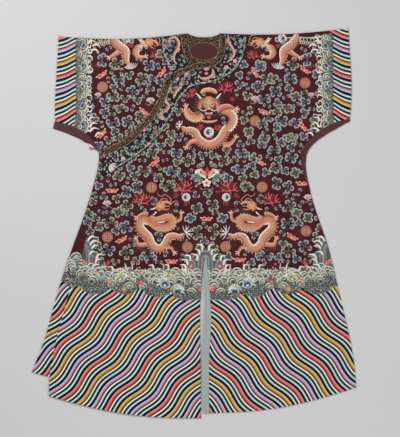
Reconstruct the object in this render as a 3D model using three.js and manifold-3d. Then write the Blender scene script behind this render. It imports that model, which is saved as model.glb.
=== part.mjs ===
// A short-sleeved embroidered court robe of lined silk, closed (laid flat, front upwards).
//
// Two lengths of silk make the body. Each runs from a front hem over the shoulder to the back hem and has
// its sleeve cut in one with it. The wearer's right length carries the inner flap. A third piece, the front
// overlap, is joined at the centre-front seam, crosses the chest and closes under the right arm with a knob
// and loop. Millimetres, +Z up off the table, +Y towards the neck, +X towards the wearer's left sleeve.
import * as THREE from "three";
import { mergeVertices } from "three/addons/utils/BufferGeometryUtils.js";
import Module from "manifold-3d";

const wasm = await Module();
wasm.setup();

// ---------------------------------------------------------------------------------- driving dimensions
const SILK = 1.6; // embroidered silk with its lining
const AIR = 0.6; // between layers that lie on each other
const SEAM = 0.3; // between pieces at a seam
const BAND = 1.0; // collar band
const BINDING = 1.1; // brocade binding along the neckline and the overlap's edge
const TRIM_AIR = 0.45; // under a band that lies on a panel
const LOW = SILK + AIR; // underside of a layer that lies on the back
const HIGH = 2 * LOW; // underside of a layer that lies on two others
const NECK = { x: 0, y: -50, hole: 72, lift: 2.2, fade: 70 }; // the front layers rise over the lining here
const STEP = { from: -29, to: 70 }; // where the front comes down off the inner flap
const COLUMNS = { body: 14, overlap: 12, band: 4, trim: 2 };
const FOLD_STEPS = 5; // faces round the shoulder fold
const KNOB = { x: -413, y: -414, radius: 4.6, ring: 2.6, wire: 0.65 }; // a ball with a ring to sew it by
const CORD = { radius: 1.2, half: 2.2, turn: 2.4 };

const COLOURS = {
  silk: { color: 0x4a1a1e, roughness: 0.55 },
  lining: { color: 0x4b2028, roughness: 0.5 },
  plain: { color: 0x451c1f, roughness: 0.5 },
  band: { color: 0x0d1016, roughness: 0.6 },
  brocade: { color: 0x4a3a26, roughness: 0.55 },
  facing: { color: 0x9db8b4, roughness: 0.45 },
  brass: { color: 0xb59a63, roughness: 0.35, metalness: 0.8 },
  cord: { color: 0x6d5a48, roughness: 0.7 },
};

// -------------------------------------------------------------------------------------- section tables
// A row is one section across a piece, from its inner to its outer edge. bow is how far the section's
// middle hangs below the straight line between its ends, rows how many faces lead on to the next section,
// corner the edge that turns sharply there, and strip the width of the underarm strip sewn to the outer edge.
const LEFT_FRONT = [
  { at: "shoulder fold", inner: [57, 3], outer: [527, 22], bow: 11, rows: 2 },
  { at: "neck side", inner: [56, -25], outer: [530, -30], bow: 7, rows: 1 },
  { at: "neck side", inner: [53, -52], outer: [533, -80], bow: 4, rows: 1 },
  { at: "neck curve", inner: [43, -77], outer: [536, -128], bow: 2, rows: 1 },
  { at: "neck curve", inner: [25, -93], outer: [538, -168], bow: 0, rows: 1 },
  { at: "neck point", inner: [SEAM / 2, -98], outer: [538, -208], bow: 0, rows: 1, corner: "inner" },
  { at: "upper sleeve", inner: [SEAM / 2, -168], outer: [536, -262], bow: 0, rows: 1 },
  { at: "cuff corner", inner: [SEAM / 2, -222], outer: [532, -305], bow: 0, rows: 1, corner: "outer", strip: 9 },
  { at: "underarm", inner: [SEAM / 2, -268], outer: [470, -322], bow: 0, rows: 1, strip: 25 },
  { at: "underarm", inner: [SEAM / 2, -308], outer: [425, -347], bow: 0, rows: 1, strip: 25 },
  { at: "underarm", inner: [SEAM / 2, -350], outer: [386, -379], bow: 0, rows: 1, strip: 23 },
  { at: "armpit", inner: [SEAM / 2, -396], outer: [361, -416], bow: 0, rows: 1, strip: 20 },
  { at: "chest", inner: [SEAM / 2, -450], outer: [354, -456], bow: 0, rows: 1, strip: 18 },
  { at: "chest", inner: [SEAM / 2, -512], outer: [364, -512], bow: 0, rows: 1, strip: 11 },
  { at: "strip's end", inner: [SEAM / 2, -575], outer: [386, -568], bow: 0, rows: 1, strip: 1.5 },
  { at: "waist", inner: [SEAM / 2, -640], outer: [402, -622], bow: 0, rows: 2 },
  { at: "waist", inner: [SEAM / 2, -735], outer: [434, -716], bow: 2, rows: 1 },
  { at: "slit top", inner: [SEAM / 2, -800], outer: [456, -785], bow: 4, rows: 1, corner: "inner" },
  { at: "slit", inner: [2, -860], outer: [471, -850], bow: 6, rows: 1 },
  { at: "slit", inner: [3, -930], outer: [487, -915], bow: 9, rows: 2 },
  { at: "skirt", inner: [1, -1040], outer: [512, -1020], bow: 14, rows: 2 },
  { at: "skirt", inner: [-4, -1160], outer: [534, -1118], bow: 19, rows: 2 },
  { at: "skirt", inner: [-5, -1270], outer: [549, -1210], bow: 24, rows: 2 },
  { at: "hem", inner: [-2, -1380], outer: [555, -1286], bow: 27, rows: 0 },
];

const LEFT_BACK = [
  { at: "shoulder fold", inner: [57, 3], outer: [527, 22], bow: 11, rows: 1 },
  { at: "back neckline", inner: [31, -6], outer: [528, -8], bow: 8, rows: 1 },
  { at: "neck point", inner: [SEAM / 2, -11], outer: [531, -48], bow: 5, rows: 2, corner: "inner" },
  { at: "sleeve", inner: [SEAM / 2, -120], outer: [536, -180], bow: 0, rows: 2 },
  { at: "cuff corner", inner: [SEAM / 2, -245], outer: [531, -308], bow: 0, rows: 1, corner: "outer" },
  { at: "underarm", inner: [SEAM / 2, -290], outer: [469, -346], bow: 0, rows: 1 },
  { at: "underarm", inner: [SEAM / 2, -345], outer: [410, -382], bow: 0, rows: 1 },
  { at: "armpit", inner: [SEAM / 2, -405], outer: [376, -424], bow: 0, rows: 1 },
  { at: "chest", inner: [SEAM / 2, -465], outer: [370, -466], bow: 0, rows: 2 },
  { at: "waist", inner: [SEAM / 2, -620], outer: [399, -615], bow: 0, rows: 2 },
  { at: "slit top", inner: [SEAM / 2, -800], outer: [454, -785], bow: 4, rows: 2, corner: "inner" },
  { at: "slit", inner: [5, -930], outer: [485, -915], bow: 9, rows: 2 },
  { at: "skirt", inner: [6, -1160], outer: [532, -1118], bow: 19, rows: 2 },
  { at: "hem", inner: [6, -1372], outer: [552, -1281], bow: 27, rows: 0 },
];

const RIGHT_FRONT = [
  { at: "shoulder fold", inner: [-57, 3], outer: [-531, -7], bow: 14, rows: 2 },
  { at: "neck side", inner: [-55, -24], outer: [-533, -52], bow: 8, rows: 1 },
  { at: "neck side", inner: [-51, -50], outer: [-536, -104], bow: 4, rows: 1 },
  { at: "neck curve", inner: [-42, -76], outer: [-539, -158], bow: 2, rows: 1 },
  { at: "under overlap", inner: [-32, -98], outer: [-542, -205], bow: 0, rows: 1 },
  { at: "flap edge", inner: [-30, -160], outer: [-544, -262], bow: 0, rows: 1 },
  { at: "cuff corner", inner: [-30, -222], outer: [-544, -314], bow: 0, rows: 1, corner: "outer", strip: 28 },
  { at: "underarm", inner: [-30, -270], outer: [-471, -336], bow: 0, rows: 1, strip: 33 },
  { at: "underarm", inner: [-30, -322], outer: [-416, -372], bow: 0, rows: 1, strip: 27 },
  { at: "armpit", inner: [-30, -385], outer: [-388, -412], bow: 0, rows: 1, strip: 3 },
  { at: "side", inner: [-30, -450], outer: [-383, -456], bow: 0, rows: 1 },
  { at: "side", inner: [-30, -545], outer: [-403, -548], bow: 0, rows: 2 },
  { at: "side", inner: [-30, -660], outer: [-436, -655], bow: 0, rows: 2 },
  { at: "side", inner: [-30, -800], outer: [-485, -790], bow: 3, rows: 2 },
  { at: "side", inner: [-30, -950], outer: [-537, -949], bow: 6, rows: 2 },
  { at: "side", inner: [-30, -1120], outer: [-583, -1116], bow: 12, rows: 1 },
  { at: "flared corner", inner: [-30, -1200], outer: [-600, -1160], bow: 16, rows: 1 },
  { at: "hem", inner: [-30, -1340], outer: [-628, -1231], bow: 20, rows: 0 },
];

const RIGHT_BACK = [
  { at: "shoulder fold", inner: [-57, 3], outer: [-531, -7], bow: 14, rows: 1 },
  { at: "back neckline", inner: [-31, -6], outer: [-532, -32], bow: 10, rows: 1 },
  { at: "neck point", inner: [-SEAM / 2, -11], outer: [-534, -70], bow: 6, rows: 2, corner: "inner" },
  { at: "sleeve", inner: [-SEAM / 2, -130], outer: [-541, -200], bow: 0, rows: 2 },
  { at: "cuff corner", inner: [-SEAM / 2, -255], outer: [-540, -340], bow: 0, rows: 1, corner: "outer" },
  { at: "underarm", inner: [-SEAM / 2, -300], outer: [-478, -366], bow: 0, rows: 1 },
  { at: "underarm", inner: [-SEAM / 2, -360], outer: [-418, -396], bow: 0, rows: 1 },
  { at: "armpit", inner: [-SEAM / 2, -420], outer: [-383, -432], bow: 0, rows: 1 },
  { at: "side", inner: [-SEAM / 2, -480], outer: [-384, -478], bow: 0, rows: 2 },
  { at: "side", inner: [-SEAM / 2, -640], outer: [-428, -635], bow: 0, rows: 2 },
  { at: "slit top", inner: [-SEAM / 2, -800], outer: [-482, -790], bow: 4, rows: 2, corner: "inner" },
  { at: "slit", inner: [-17, -950], outer: [-534, -949], bow: 9, rows: 2 },
  { at: "skirt", inner: [-18, -1150], outer: [-588, -1140], bow: 15, rows: 1 },
  { at: "hem", inner: [-17, -1340], outer: [-620, -1222], bow: 20, rows: 0 },
];

const OVERLAP = [
  { at: "neck point", inner: [-SEAM / 2, -98], outer: [-22, -99], bow: 0, rows: 1 },
  { at: "crossing", inner: [-SEAM / 2, -113], outer: [-72, -117], bow: 0, rows: 1 },
  { at: "crossing", inner: [-SEAM / 2, -132], outer: [-119, -138], bow: 0, rows: 1 },
  { at: "chest edge", inner: [-SEAM / 2, -165], outer: [-146, -172], bow: 0, rows: 1 },
  { at: "chest edge", inner: [-SEAM / 2, -210], outer: [-163, -224], bow: 0, rows: 1 },
  { at: "chest edge", inner: [-SEAM / 2, -262], outer: [-194, -277], bow: 0, rows: 1 },
  { at: "chest edge", inner: [-SEAM / 2, -310], outer: [-236, -328], bow: 0, rows: 1 },
  { at: "chest edge", inner: [-SEAM / 2, -350], outer: [-279, -370], bow: 0, rows: 1 },
  { at: "chest edge", inner: [-SEAM / 2, -385], outer: [-326, -397], bow: 0, rows: 1 },
  { at: "armpit", inner: [-SEAM / 2, -420], outer: [-370, -419], bow: 0, rows: 1, corner: "outer" },
  { at: "free edge", inner: [-SEAM / 2, -500], outer: [-376, -500], bow: 0, rows: 2 },
  { at: "free edge", inner: [-SEAM / 2, -605], outer: [-388, -600], bow: 0, rows: 2 },
  { at: "free edge", inner: [-SEAM / 2, -710], outer: [-420, -700], bow: 0, rows: 1 },
  { at: "slit top", inner: [-SEAM / 2, -800], outer: [-442, -790], bow: 3, rows: 1, corner: "inner" },
  { at: "slit", inner: [-7, -862], outer: [-464, -858], bow: 4, rows: 1 },
  { at: "slit", inner: [-13, -940], outer: [-490, -936], bow: 6, rows: 2 },
  { at: "skirt", inner: [-14, -1060], outer: [-524, -1055], bow: 12, rows: 2 },
  { at: "skirt", inner: [-13, -1180], outer: [-548, -1158], bow: 18, rows: 2 },
  { at: "skirt", inner: [-12, -1290], outer: [-563, -1245], bow: 24, rows: 2 },
  { at: "hem", inner: [-11, -1398], outer: [-566, -1318], bow: 25, rows: 0 },
];

// neck is the neckline or the overlap's edge, seam where binding and band meet, outer the band's wave edge.
const COLLAR = [
  { at: "shoulder fold", neck: [58.5, -2], seam: [79, -3], outer: [157, -4], rows: 2 },
  { at: "neck side", neck: [57.5, -27], seam: [79, -31], outer: [155, -50], rows: 1 },
  { at: "neck side", neck: [54.5, -53], seam: [74, -65], outer: [136, -97], rows: 1 },
  { at: "neck curve", neck: [45, -78], seam: [60, -94], outer: [104, -138], rows: 1 },
  { at: "neck curve", neck: [26, -94.5], seam: [34, -114], outer: [58, -166], rows: 1 },
  { at: "neck point", neck: [0, -99.5], seam: [-2, -121], outer: [2, -181], rows: 1 },
  { at: "crossing", neck: [-22, -101.5], seam: [-30, -123], outer: [-50, -194], rows: 1 },
  { at: "crossing", neck: [-71, -120], seam: [-78, -142], outer: [-85, -230], rows: 1 },
  { at: "corner", neck: [-116, -140], seam: [-106, -164], outer: [-103, -262], rows: 1 },
  { at: "chest edge", neck: [-144, -174], seam: [-123, -184], outer: [-120, -300], rows: 1 },
  { at: "chest edge", neck: [-161, -225], seam: [-140, -233], outer: [-142, -334], rows: 1 },
  { at: "chest edge", neck: [-192, -278], seam: [-174, -291], outer: [-166, -368], rows: 1 },
  { at: "chest edge", neck: [-235, -330], seam: [-221, -347], outer: [-203, -408], rows: 1 },
  { at: "chest edge", neck: [-279, -372], seam: [-268, -392], outer: [-243, -440], rows: 1 },
  { at: "chest edge", neck: [-325, -399], seam: [-319, -421], outer: [-284, -468], rows: 1 },
  { at: "chest edge", neck: [-356, -414], seam: [-354, -436], outer: [-330, -496], rows: 1 },
  { at: "side end", neck: [-368.5, -420.5], seam: [-370, -440], outer: [-372, -516], rows: 0 },
];

const UNDER_COLLAR = [
  { at: "shoulder fold", neck: [-58.5, -2], seam: [-84, -4], outer: [-158, -9], rows: 2 },
  { at: "neck side", neck: [-56.5, -26], seam: [-81, -33], outer: [-156, -55], rows: 1 },
  { at: "neck side", neck: [-52.5, -52], seam: [-73, -66], outer: [-144, -94], rows: 1 },
  { at: "neck curve", neck: [-44, -77], seam: [-60, -95], outer: [-130, -122], rows: 1 },
  { at: "under overlap", neck: [-36, -101.5], seam: [-56, -109], outer: [-119, -136], rows: 0 },
];

const SLIT_FACING = [
  { at: "point", inner: [6, -806], outer: [9, -806], bow: 0, rows: 1 },
  { at: "slit", inner: [-3, -858], outer: [14, -858], bow: 0, rows: 1 },
  { at: "slit", inner: [-6, -900], outer: [18, -900], bow: 0, rows: 1 },
  { at: "slit", inner: [0, -950], outer: [22, -950], bow: 0, rows: 2 },
  { at: "slit", inner: [-1, -1040], outer: [26, -1040], bow: 0, rows: 2 },
  { at: "slit", inner: [-7, -1160], outer: [20, -1157], bow: 0, rows: 2 },
  { at: "slit", inner: [-8, -1270], outer: [18, -1270], bow: 0, rows: 2 },
  { at: "hem", inner: [-4, -1379], outer: [19, -1379], bow: 0, rows: 0 },
];

// The middle line of the doubled cord that holds the knob, from its ring to the overlap's corner.
const STRAP = [
  { at: "ring", x: -403.6, y: -414, z: 4.7 },
  { at: "underarm", x: -397, y: -415, z: 5.6 },
  { at: "flap edge", x: -389, y: -416.5, z: 6.6 },
  { at: "flap", x: -380, y: -419, z: 7.3 },
  { at: "overlap's corner", x: -371.1, y: -422, z: 7.55 },
];

// The largest soft ridges of the upper layers: middle, direction in degrees, half length, half width, height.
const RIDGES = [
  { at: "left underarm", x: 430, y: -300, turn: 28, long: 110, wide: 50, high: 1.7 },
  { at: "left armpit", x: 316, y: -500, turn: 100, long: 130, wide: 52, high: 1.5 },
  { at: "right underarm", x: -440, y: -300, turn: -30, long: 110, wide: 50, high: 1.8 },
  { at: "right side", x: -350, y: -640, turn: 76, long: 160, wide: 56, high: 1.6 },
  { at: "right skirt", x: -440, y: -1130, turn: 74, long: 210, wide: 72, high: 2.3 },
  { at: "right skirt", x: -240, y: -1180, turn: 82, long: 200, wide: 66, high: 1.9 },
  { at: "right skirt", x: -90, y: -1120, turn: 87, long: 180, wide: 56, high: 1.2 },
  { at: "left skirt", x: 150, y: -1150, turn: 95, long: 210, wide: 60, high: 1.7 },
  { at: "left skirt", x: 300, y: -1120, turn: 100, long: 200, wide: 68, high: 2.2 },
  { at: "left skirt", x: 450, y: -1090, turn: 105, long: 180, wide: 60, high: 1.8 },
  { at: "left chest", x: 200, y: -430, turn: 70, long: 140, wide: 62, high: 1.2 },
  { at: "right chest", x: -140, y: -570, turn: 105, long: 150, wide: 62, high: 1.2 },
  { at: "left cuff", x: 480, y: -150, turn: 90, long: 100, wide: 50, high: 1.5 },
  { at: "right cuff", x: -490, y: -170, turn: 90, long: 105, wide: 50, high: 1.6 },
];

// --------------------------------------------------------------------------------------------- heights
const smooth = THREE.MathUtils.smoothstep;

// How far the upper layers stand off the table's stack here: the ridges, and the rise over the lining.
function rise(x, y) {
  const ridges = RIDGES.reduce((sum, ridge) => {
    const turn = THREE.MathUtils.degToRad(ridge.turn);
    const along = (x - ridge.x) * Math.cos(turn) + (y - ridge.y) * Math.sin(turn);
    const across = (y - ridge.y) * Math.cos(turn) - (x - ridge.x) * Math.sin(turn);
    return sum + ridge.high * Math.exp(-((along / ridge.long) ** 2) - (across / ridge.wide) ** 2);
  }, 0);
  const fromHole = Math.max(0, Math.hypot(x - NECK.x, y - NECK.y) - NECK.hole);
  return ridges + NECK.lift * Math.exp(-((fromHole / NECK.fade) ** 2));
}

// Undersides of the layers at a point.
const onTable = () => 0;
const onBack = (x, y) => LOW + rise(x, y);
const onFlap = (x, y) => onBack(x, y) + (HIGH - LOW) * (1 - smooth(x, STEP.from, STEP.to));

// -------------------------------------------------------------------------------------- sheet geometry
// A smooth line through one edge of the sections, broken where a section is marked as that edge's corner.
function edgeLine(sections, side) {
  const runs = [];
  let start = 0;
  sections.forEach((section, i) => {
    if (i === start || (section.corner !== side && i < sections.length - 1)) return;
    const points = sections.slice(start, i + 1).map((s) => new THREE.Vector3(...s[side], 0));
    runs.push({ start, end: i, curve: new THREE.CatmullRomCurve3(points) });
    start = i;
  });
  return (place) => {
    const run = runs.find((r) => place <= r.end);
    return run.curve.getPoint((place - run.start) / (run.end - run.start));
  };
}

// The places along a table where the grid has a row: section 0, its steps, section 1 and so on.
function stations(sections) {
  const places = sections.flatMap((section, i) =>
    Array.from({ length: section.rows }, (_, k) => i + k / section.rows),
  );
  return [...places, sections.length - 1];
}

// One row of a sheet: points from the inner to the outer edge, bowed down, at the height of the layer below.
// bunch above 1 draws the columns towards the inner edge.
function row(inner, outer, bow, { columns, bunch = 1, underside, thickness, way = 1 }) {
  return Array.from({ length: columns + 1 }, (_, i) => {
    const across = (i / columns) ** bunch;
    const point = new THREE.Vector3().lerpVectors(inner, outer, across);
    point.y -= bow * Math.sin(Math.PI * across);
    point.z = underside(point.x, point.y) + thickness / 2;
    return { point, normal: new THREE.Vector3(0, 0, way) };
  });
}

// The rows of a flat sheet between two columns of a section table.
function sheetRows(sections, cut) {
  const [inner, outer] = (cut.sides ?? ["inner", "outer"]).map((side) => edgeLine(sections, side));
  return stations(sections).map((place) => {
    const i = Math.min(Math.floor(place), sections.length - 2);
    const [bow, next] = [sections[i].bow ?? 0, sections[i + 1].bow ?? 0];
    return row(inner(place), outer(place), THREE.MathUtils.lerp(bow, next, place - i), cut);
  });
}

// The rows of a strip sewn along a panel's outer edge, as wide as the panel's sections say.
function stripRows(panel, cut) {
  const first = panel.findIndex((section) => section.strip);
  const last = panel.findLastIndex((section) => section.strip);
  const edge = edgeLine(panel, "outer");
  const rows = stations(panel).filter((place) => place >= first && place <= last);
  return rows.map((place) => {
    const i = Math.min(Math.floor(place), last - 1);
    const wide = THREE.MathUtils.lerp(panel[i].strip, panel[i + 1].strip, place - i);
    const start = edge(place);
    const along = edge(place + 0.05).sub(start).normalize();
    const outward = new THREE.Vector3(-along.y, along.x, 0).multiplyScalar(Math.sign(start.x));
    const [inner, outer] = [SEAM, SEAM + wide].map((far) => start.clone().addScaledVector(outward, far));
    return row(inner, outer, 0, cut);
  });
}

// Joins a front and a back sheet over the shoulder: the wall turns half round between their first rows.
function foldedRows(front, back) {
  const over = Array.from({ length: FOLD_STEPS + 1 }, (_, k) => {
    const turn = (Math.PI * k) / FOLD_STEPS;
    return front[0].map(({ point: high }, i) => {
      const low = back[0][i].point;
      const radius = (high.z - low.z) / 2;
      const lean = Math.sin(turn) * radius;
      const point = new THREE.Vector3(high.x, high.y + lean, low.z + radius * (1 + Math.cos(turn)));
      return { point, normal: new THREE.Vector3(0, Math.sin(turn), Math.cos(turn)) };
    });
  });
  return [...front.slice(1).reverse(), ...over, ...back.slice(1)];
}

// A closed wall about rows of points: an outer and an inner grid, and a narrow face round their rim.
function wall(rows, thickness) {
  const across = rows[0].length;
  const count = rows.length * across;
  const positions = [1, -1].flatMap((side) =>
    rows.flat().flatMap(({ point, normal }) =>
      point.clone().addScaledVector(normal, (side * thickness) / 2).toArray(),
    ),
  );
  const quad = (a, b, c, d) => [a, b, c, a, c, d];
  const at = (r, i) => r * across + i;
  const faces = [];
  for (let r = 0; r < rows.length - 1; r++) {
    for (let i = 0; i < across - 1; i++) {
      const [a, b, c, d] = [at(r, i), at(r + 1, i), at(r + 1, i + 1), at(r, i + 1)];
      faces.push(...quad(a, b, c, d), ...quad(d + count, c + count, b + count, a + count));
    }
  }
  const last = rows.length - 1;
  const rim = [
    ...Array.from({ length: last }, (_, r) => at(r, 0)),
    ...Array.from({ length: across - 1 }, (_, i) => at(last, i)),
    ...Array.from({ length: last }, (_, r) => at(last - r, across - 1)),
    ...Array.from({ length: across - 1 }, (_, i) => at(0, across - 1 - i)),
  ];
  rim.forEach((a, k) => {
    const b = rim[(k + 1) % rim.length];
    faces.push(...quad(b, a, a + count, b + count));
  });
  const geometry = new THREE.BufferGeometry();
  geometry.setAttribute("position", new THREE.Float32BufferAttribute(positions, 3));
  geometry.setIndex(facingOut(positions, faces));
  return geometry;
}

// The faces, turned over if they enclose a negative volume.
function facingOut(positions, faces) {
  const corner = (i) => new THREE.Vector3().fromArray(positions, 3 * faces[i]);
  let volume = 0;
  for (let i = 0; i < faces.length; i += 3) volume += corner(i).dot(corner(i + 1).cross(corner(i + 2)));
  return volume > 0 ? faces : faces.reverse();
}

// ------------------------------------------------------------------------------------------ the pieces
const robe = new THREE.Group();

function add(name, finish, geometry) {
  const material = new THREE.MeshStandardMaterial({ metalness: 0, side: THREE.DoubleSide, ...COLOURS[finish] });
  const mesh = new THREE.Mesh(geometry, material);
  mesh.name = name;
  robe.add(mesh);
  return mesh;
}

// A body length, cut in one with its sleeve and folded over the shoulder.
function bodyLength(name, front, back, underside) {
  const cut = { columns: COLUMNS.body, bunch: 1.25, thickness: SILK };
  const upper = sheetRows(front, { ...cut, underside });
  const lower = sheetRows(back, { ...cut, underside: onTable, way: -1 });
  add(name, "silk", wall(foldedRows(upper, lower), SILK));
}

// A single sheet between two columns of a table, lying on the layer that underside gives.
function sheet(name, finish, sections, options) {
  add(name, finish, wall(sheetRows(sections, options), options.thickness));
}

// A collar: the band, and the brocade binding that edges it, on the panel below.
function collar(prefix, sections, panel) {
  const underside = (x, y) => panel(x, y) + SILK + TRIM_AIR;
  const inset = sections.map((s) => {
    const seam = new THREE.Vector2(...s.seam);
    const towardsNeck = new THREE.Vector2(...s.neck).sub(seam).normalize();
    return { ...s, binding: seam.clone().addScaledVector(towardsNeck, SEAM).toArray() };
  });
  const bandSides = { sides: ["seam", "outer"], columns: COLUMNS.band, thickness: BAND, underside };
  const trimSides = { sides: ["neck", "binding"], columns: COLUMNS.trim, thickness: BINDING, underside };
  sheet(prefix + "_band", "band", inset, bandSides);
  sheet(prefix + "_binding", "brocade", inset, trimSides);
}

// The lining that shows inside the neck, and the brocade facing round it.
function insideNeck() {
  const oval = (halfWidth, top, bottom) => {
    const shape = new THREE.Shape();
    shape.absellipse(0, (top + bottom) / 2, halfWidth, (top - bottom) / 2, 0, 2 * Math.PI);
    return shape;
  };
  const depth = { lining: 0.8, facing: 0.9 };
  const curveSegments = 20;
  const lining = new THREE.ExtrudeGeometry(oval(56, -14, -102), {
    depth: depth.lining,
    bevelEnabled: false,
    curveSegments,
  });
  add("neck_lining", "lining", lining.translate(0, 0, SILK + SEAM));
  const ring = oval(53.5, -16, -99.5);
  ring.holes.push(oval(45, -32, -86));
  const facing = new THREE.ExtrudeGeometry(ring, { depth: depth.facing, bevelEnabled: false, curveSegments });
  add("neck_facing", "brocade", facing.translate(0, 0, SILK + 2 * SEAM + depth.lining));
}

// A geometry as a solid that can be joined, and a joined solid as a geometry.
function solid(geometry) {
  const bare = new THREE.BufferGeometry();
  bare.setAttribute("position", geometry.getAttribute("position"));
  bare.setIndex(geometry.getIndex());
  const merged = mergeVertices(bare, 1e-4);
  const index = merged.getIndex().array;
  const triVerts = Uint32Array.from(index).filter((_, i) => {
    const t = i - (i % 3);
    return new Set([index[t], index[t + 1], index[t + 2]]).size === 3;
  });
  const vertProperties = merged.getAttribute("position").array;
  return new wasm.Manifold(new wasm.Mesh({ numProp: 3, vertProperties, triVerts }));
}

function joined(first, second) {
  const { vertProperties, triVerts } = solid(first).add(solid(second)).getMesh();
  const geometry = new THREE.BufferGeometry();
  geometry.setAttribute("position", new THREE.BufferAttribute(vertProperties, 3));
  return geometry.setIndex(new THREE.BufferAttribute(triVerts, 1));
}

// The knob that closes the robe under the right arm, and the doubled cord from its ring to the overlap.
function fastening() {
  const { radius, ring, wire } = KNOB;
  const ball = new THREE.SphereGeometry(radius, 16, 10);
  const eye = new THREE.TorusGeometry(ring, wire, 8, 20).rotateX(Math.PI / 2);
  const knob = add("toggle_knob", "brass", joined(ball, eye.translate(radius + ring - wire / 2, 0, 0)));
  knob.position.set(KNOB.x, KNOB.y, radius);

  const section = new THREE.Shape();
  section.absellipse(0, 0, CORD.radius, CORD.radius, 0, 2 * Math.PI);
  const side = (way) => STRAP.map(({ x, y, z }) => new THREE.Vector3(x, y + way * CORD.half, z));
  const tip = new THREE.Vector3(STRAP[0].x - CORD.turn, STRAP[0].y, STRAP[0].z);
  const path = new THREE.CatmullRomCurve3([tip, ...side(1), ...side(-1).reverse()], true);
  add("toggle_cord", "cord", new THREE.ExtrudeGeometry(section, { steps: 44, curveSegments: 4, extrudePath: path }));
}

bodyLength("left_body_and_sleeve", LEFT_FRONT, LEFT_BACK, onFlap);
bodyLength("right_body_sleeve_and_inner_flap", RIGHT_FRONT, RIGHT_BACK, onBack);
sheet("front_overlap", "silk", OVERLAP, {
  columns: COLUMNS.overlap,
  bunch: 1.5,
  underside: onFlap,
  thickness: SILK,
});
const stripCut = { columns: 1, underside: onBack, thickness: SILK };
add("left_underarm_strip", "plain", wall(stripRows(LEFT_FRONT, stripCut), SILK));
add("right_underarm_strip", "plain", wall(stripRows(RIGHT_FRONT, stripCut), SILK));
collar("collar", COLLAR, onFlap);
collar("under_collar", UNDER_COLLAR, onBack);
const overFront = (x, y) => onFlap(x, y) + SILK + TRIM_AIR;
sheet("slit_facing", "facing", SLIT_FACING, { columns: 2, underside: overFront, thickness: BAND });
insideNeck();
fastening();

// The origin is the middle of the footprint, on the table.
const footprint = new THREE.Box3().setFromObject(robe);
const middle = footprint.getCenter(new THREE.Vector3());
robe.position.set(-middle.x, -middle.y, -footprint.min.z);

export default robe;
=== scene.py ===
# %% [markdown]
# # A court robe of embroidered silk, laid flat
# The robe is built in the order in which it was made: the silk lengths first, then the collar and facings,
# and then the embroidery that covers nearly all of it. Everything hangs on the solid model's frame, so that
# step comes first. Sizes are in millimetres on the robe, and `to_frame` turns them into metres in the frame.

import bpy
import numpy as np
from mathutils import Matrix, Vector


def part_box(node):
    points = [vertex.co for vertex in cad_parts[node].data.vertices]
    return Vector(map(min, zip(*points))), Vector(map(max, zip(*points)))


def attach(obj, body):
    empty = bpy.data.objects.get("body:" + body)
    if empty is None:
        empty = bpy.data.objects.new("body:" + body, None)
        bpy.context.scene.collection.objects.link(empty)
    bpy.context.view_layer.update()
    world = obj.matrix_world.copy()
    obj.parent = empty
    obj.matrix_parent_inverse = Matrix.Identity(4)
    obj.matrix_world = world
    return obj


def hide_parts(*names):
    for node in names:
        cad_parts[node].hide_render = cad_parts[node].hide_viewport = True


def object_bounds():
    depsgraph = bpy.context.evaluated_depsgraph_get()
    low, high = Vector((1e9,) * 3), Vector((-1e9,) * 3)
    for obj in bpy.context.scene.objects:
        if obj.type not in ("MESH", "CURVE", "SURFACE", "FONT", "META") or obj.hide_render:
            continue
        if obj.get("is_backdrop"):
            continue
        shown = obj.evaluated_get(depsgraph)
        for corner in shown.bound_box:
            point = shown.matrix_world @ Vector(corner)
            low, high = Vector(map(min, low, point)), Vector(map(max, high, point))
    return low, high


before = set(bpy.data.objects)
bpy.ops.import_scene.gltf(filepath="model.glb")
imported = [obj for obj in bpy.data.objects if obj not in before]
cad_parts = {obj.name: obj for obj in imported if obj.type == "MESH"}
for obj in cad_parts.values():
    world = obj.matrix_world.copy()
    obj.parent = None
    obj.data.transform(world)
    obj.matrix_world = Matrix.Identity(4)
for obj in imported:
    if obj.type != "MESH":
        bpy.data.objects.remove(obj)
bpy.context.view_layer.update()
MM = 0.001
# The frame's origin is the middle of the footprint. These two known edges give its place on the robe.
LEFT_EDGE, FOOT_EDGE = 555.0, -1398.0
ORIGIN = np.array([LEFT_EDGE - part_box("left_body_and_sleeve")[1][0] / MM,
                   FOOT_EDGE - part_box("front_overlap")[0][1] / MM])
print("nodes:", len(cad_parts), " the frame's origin on the robe, mm:", ORIGIN.round(2))


def to_frame(points):
    """Robe millimetres (x, y, z) to frame metres: the origin taken away from x and y, then a thousandth."""
    return (np.asarray(points, float) - [*ORIGIN, 0.0]) * MM


# %% [markdown]
# ## The layers and their heights
# A robe on a table is a stack: the back lies on the table, the inner flap on the back, the overlap on the
# flap. One height function for all upper layers keeps them from cutting through each other. It adds the
# soft ridges of the solid model, the rise over the lining, and finer creases that only show when light
# grazes them.

# %% Heights of the layers
SILK, AIR, BAND, BINDING, TRIM_AIR, SEAM = 1.6, 0.6, 1.0, 1.1, 0.45, 0.3
LOW = SILK + AIR
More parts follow.
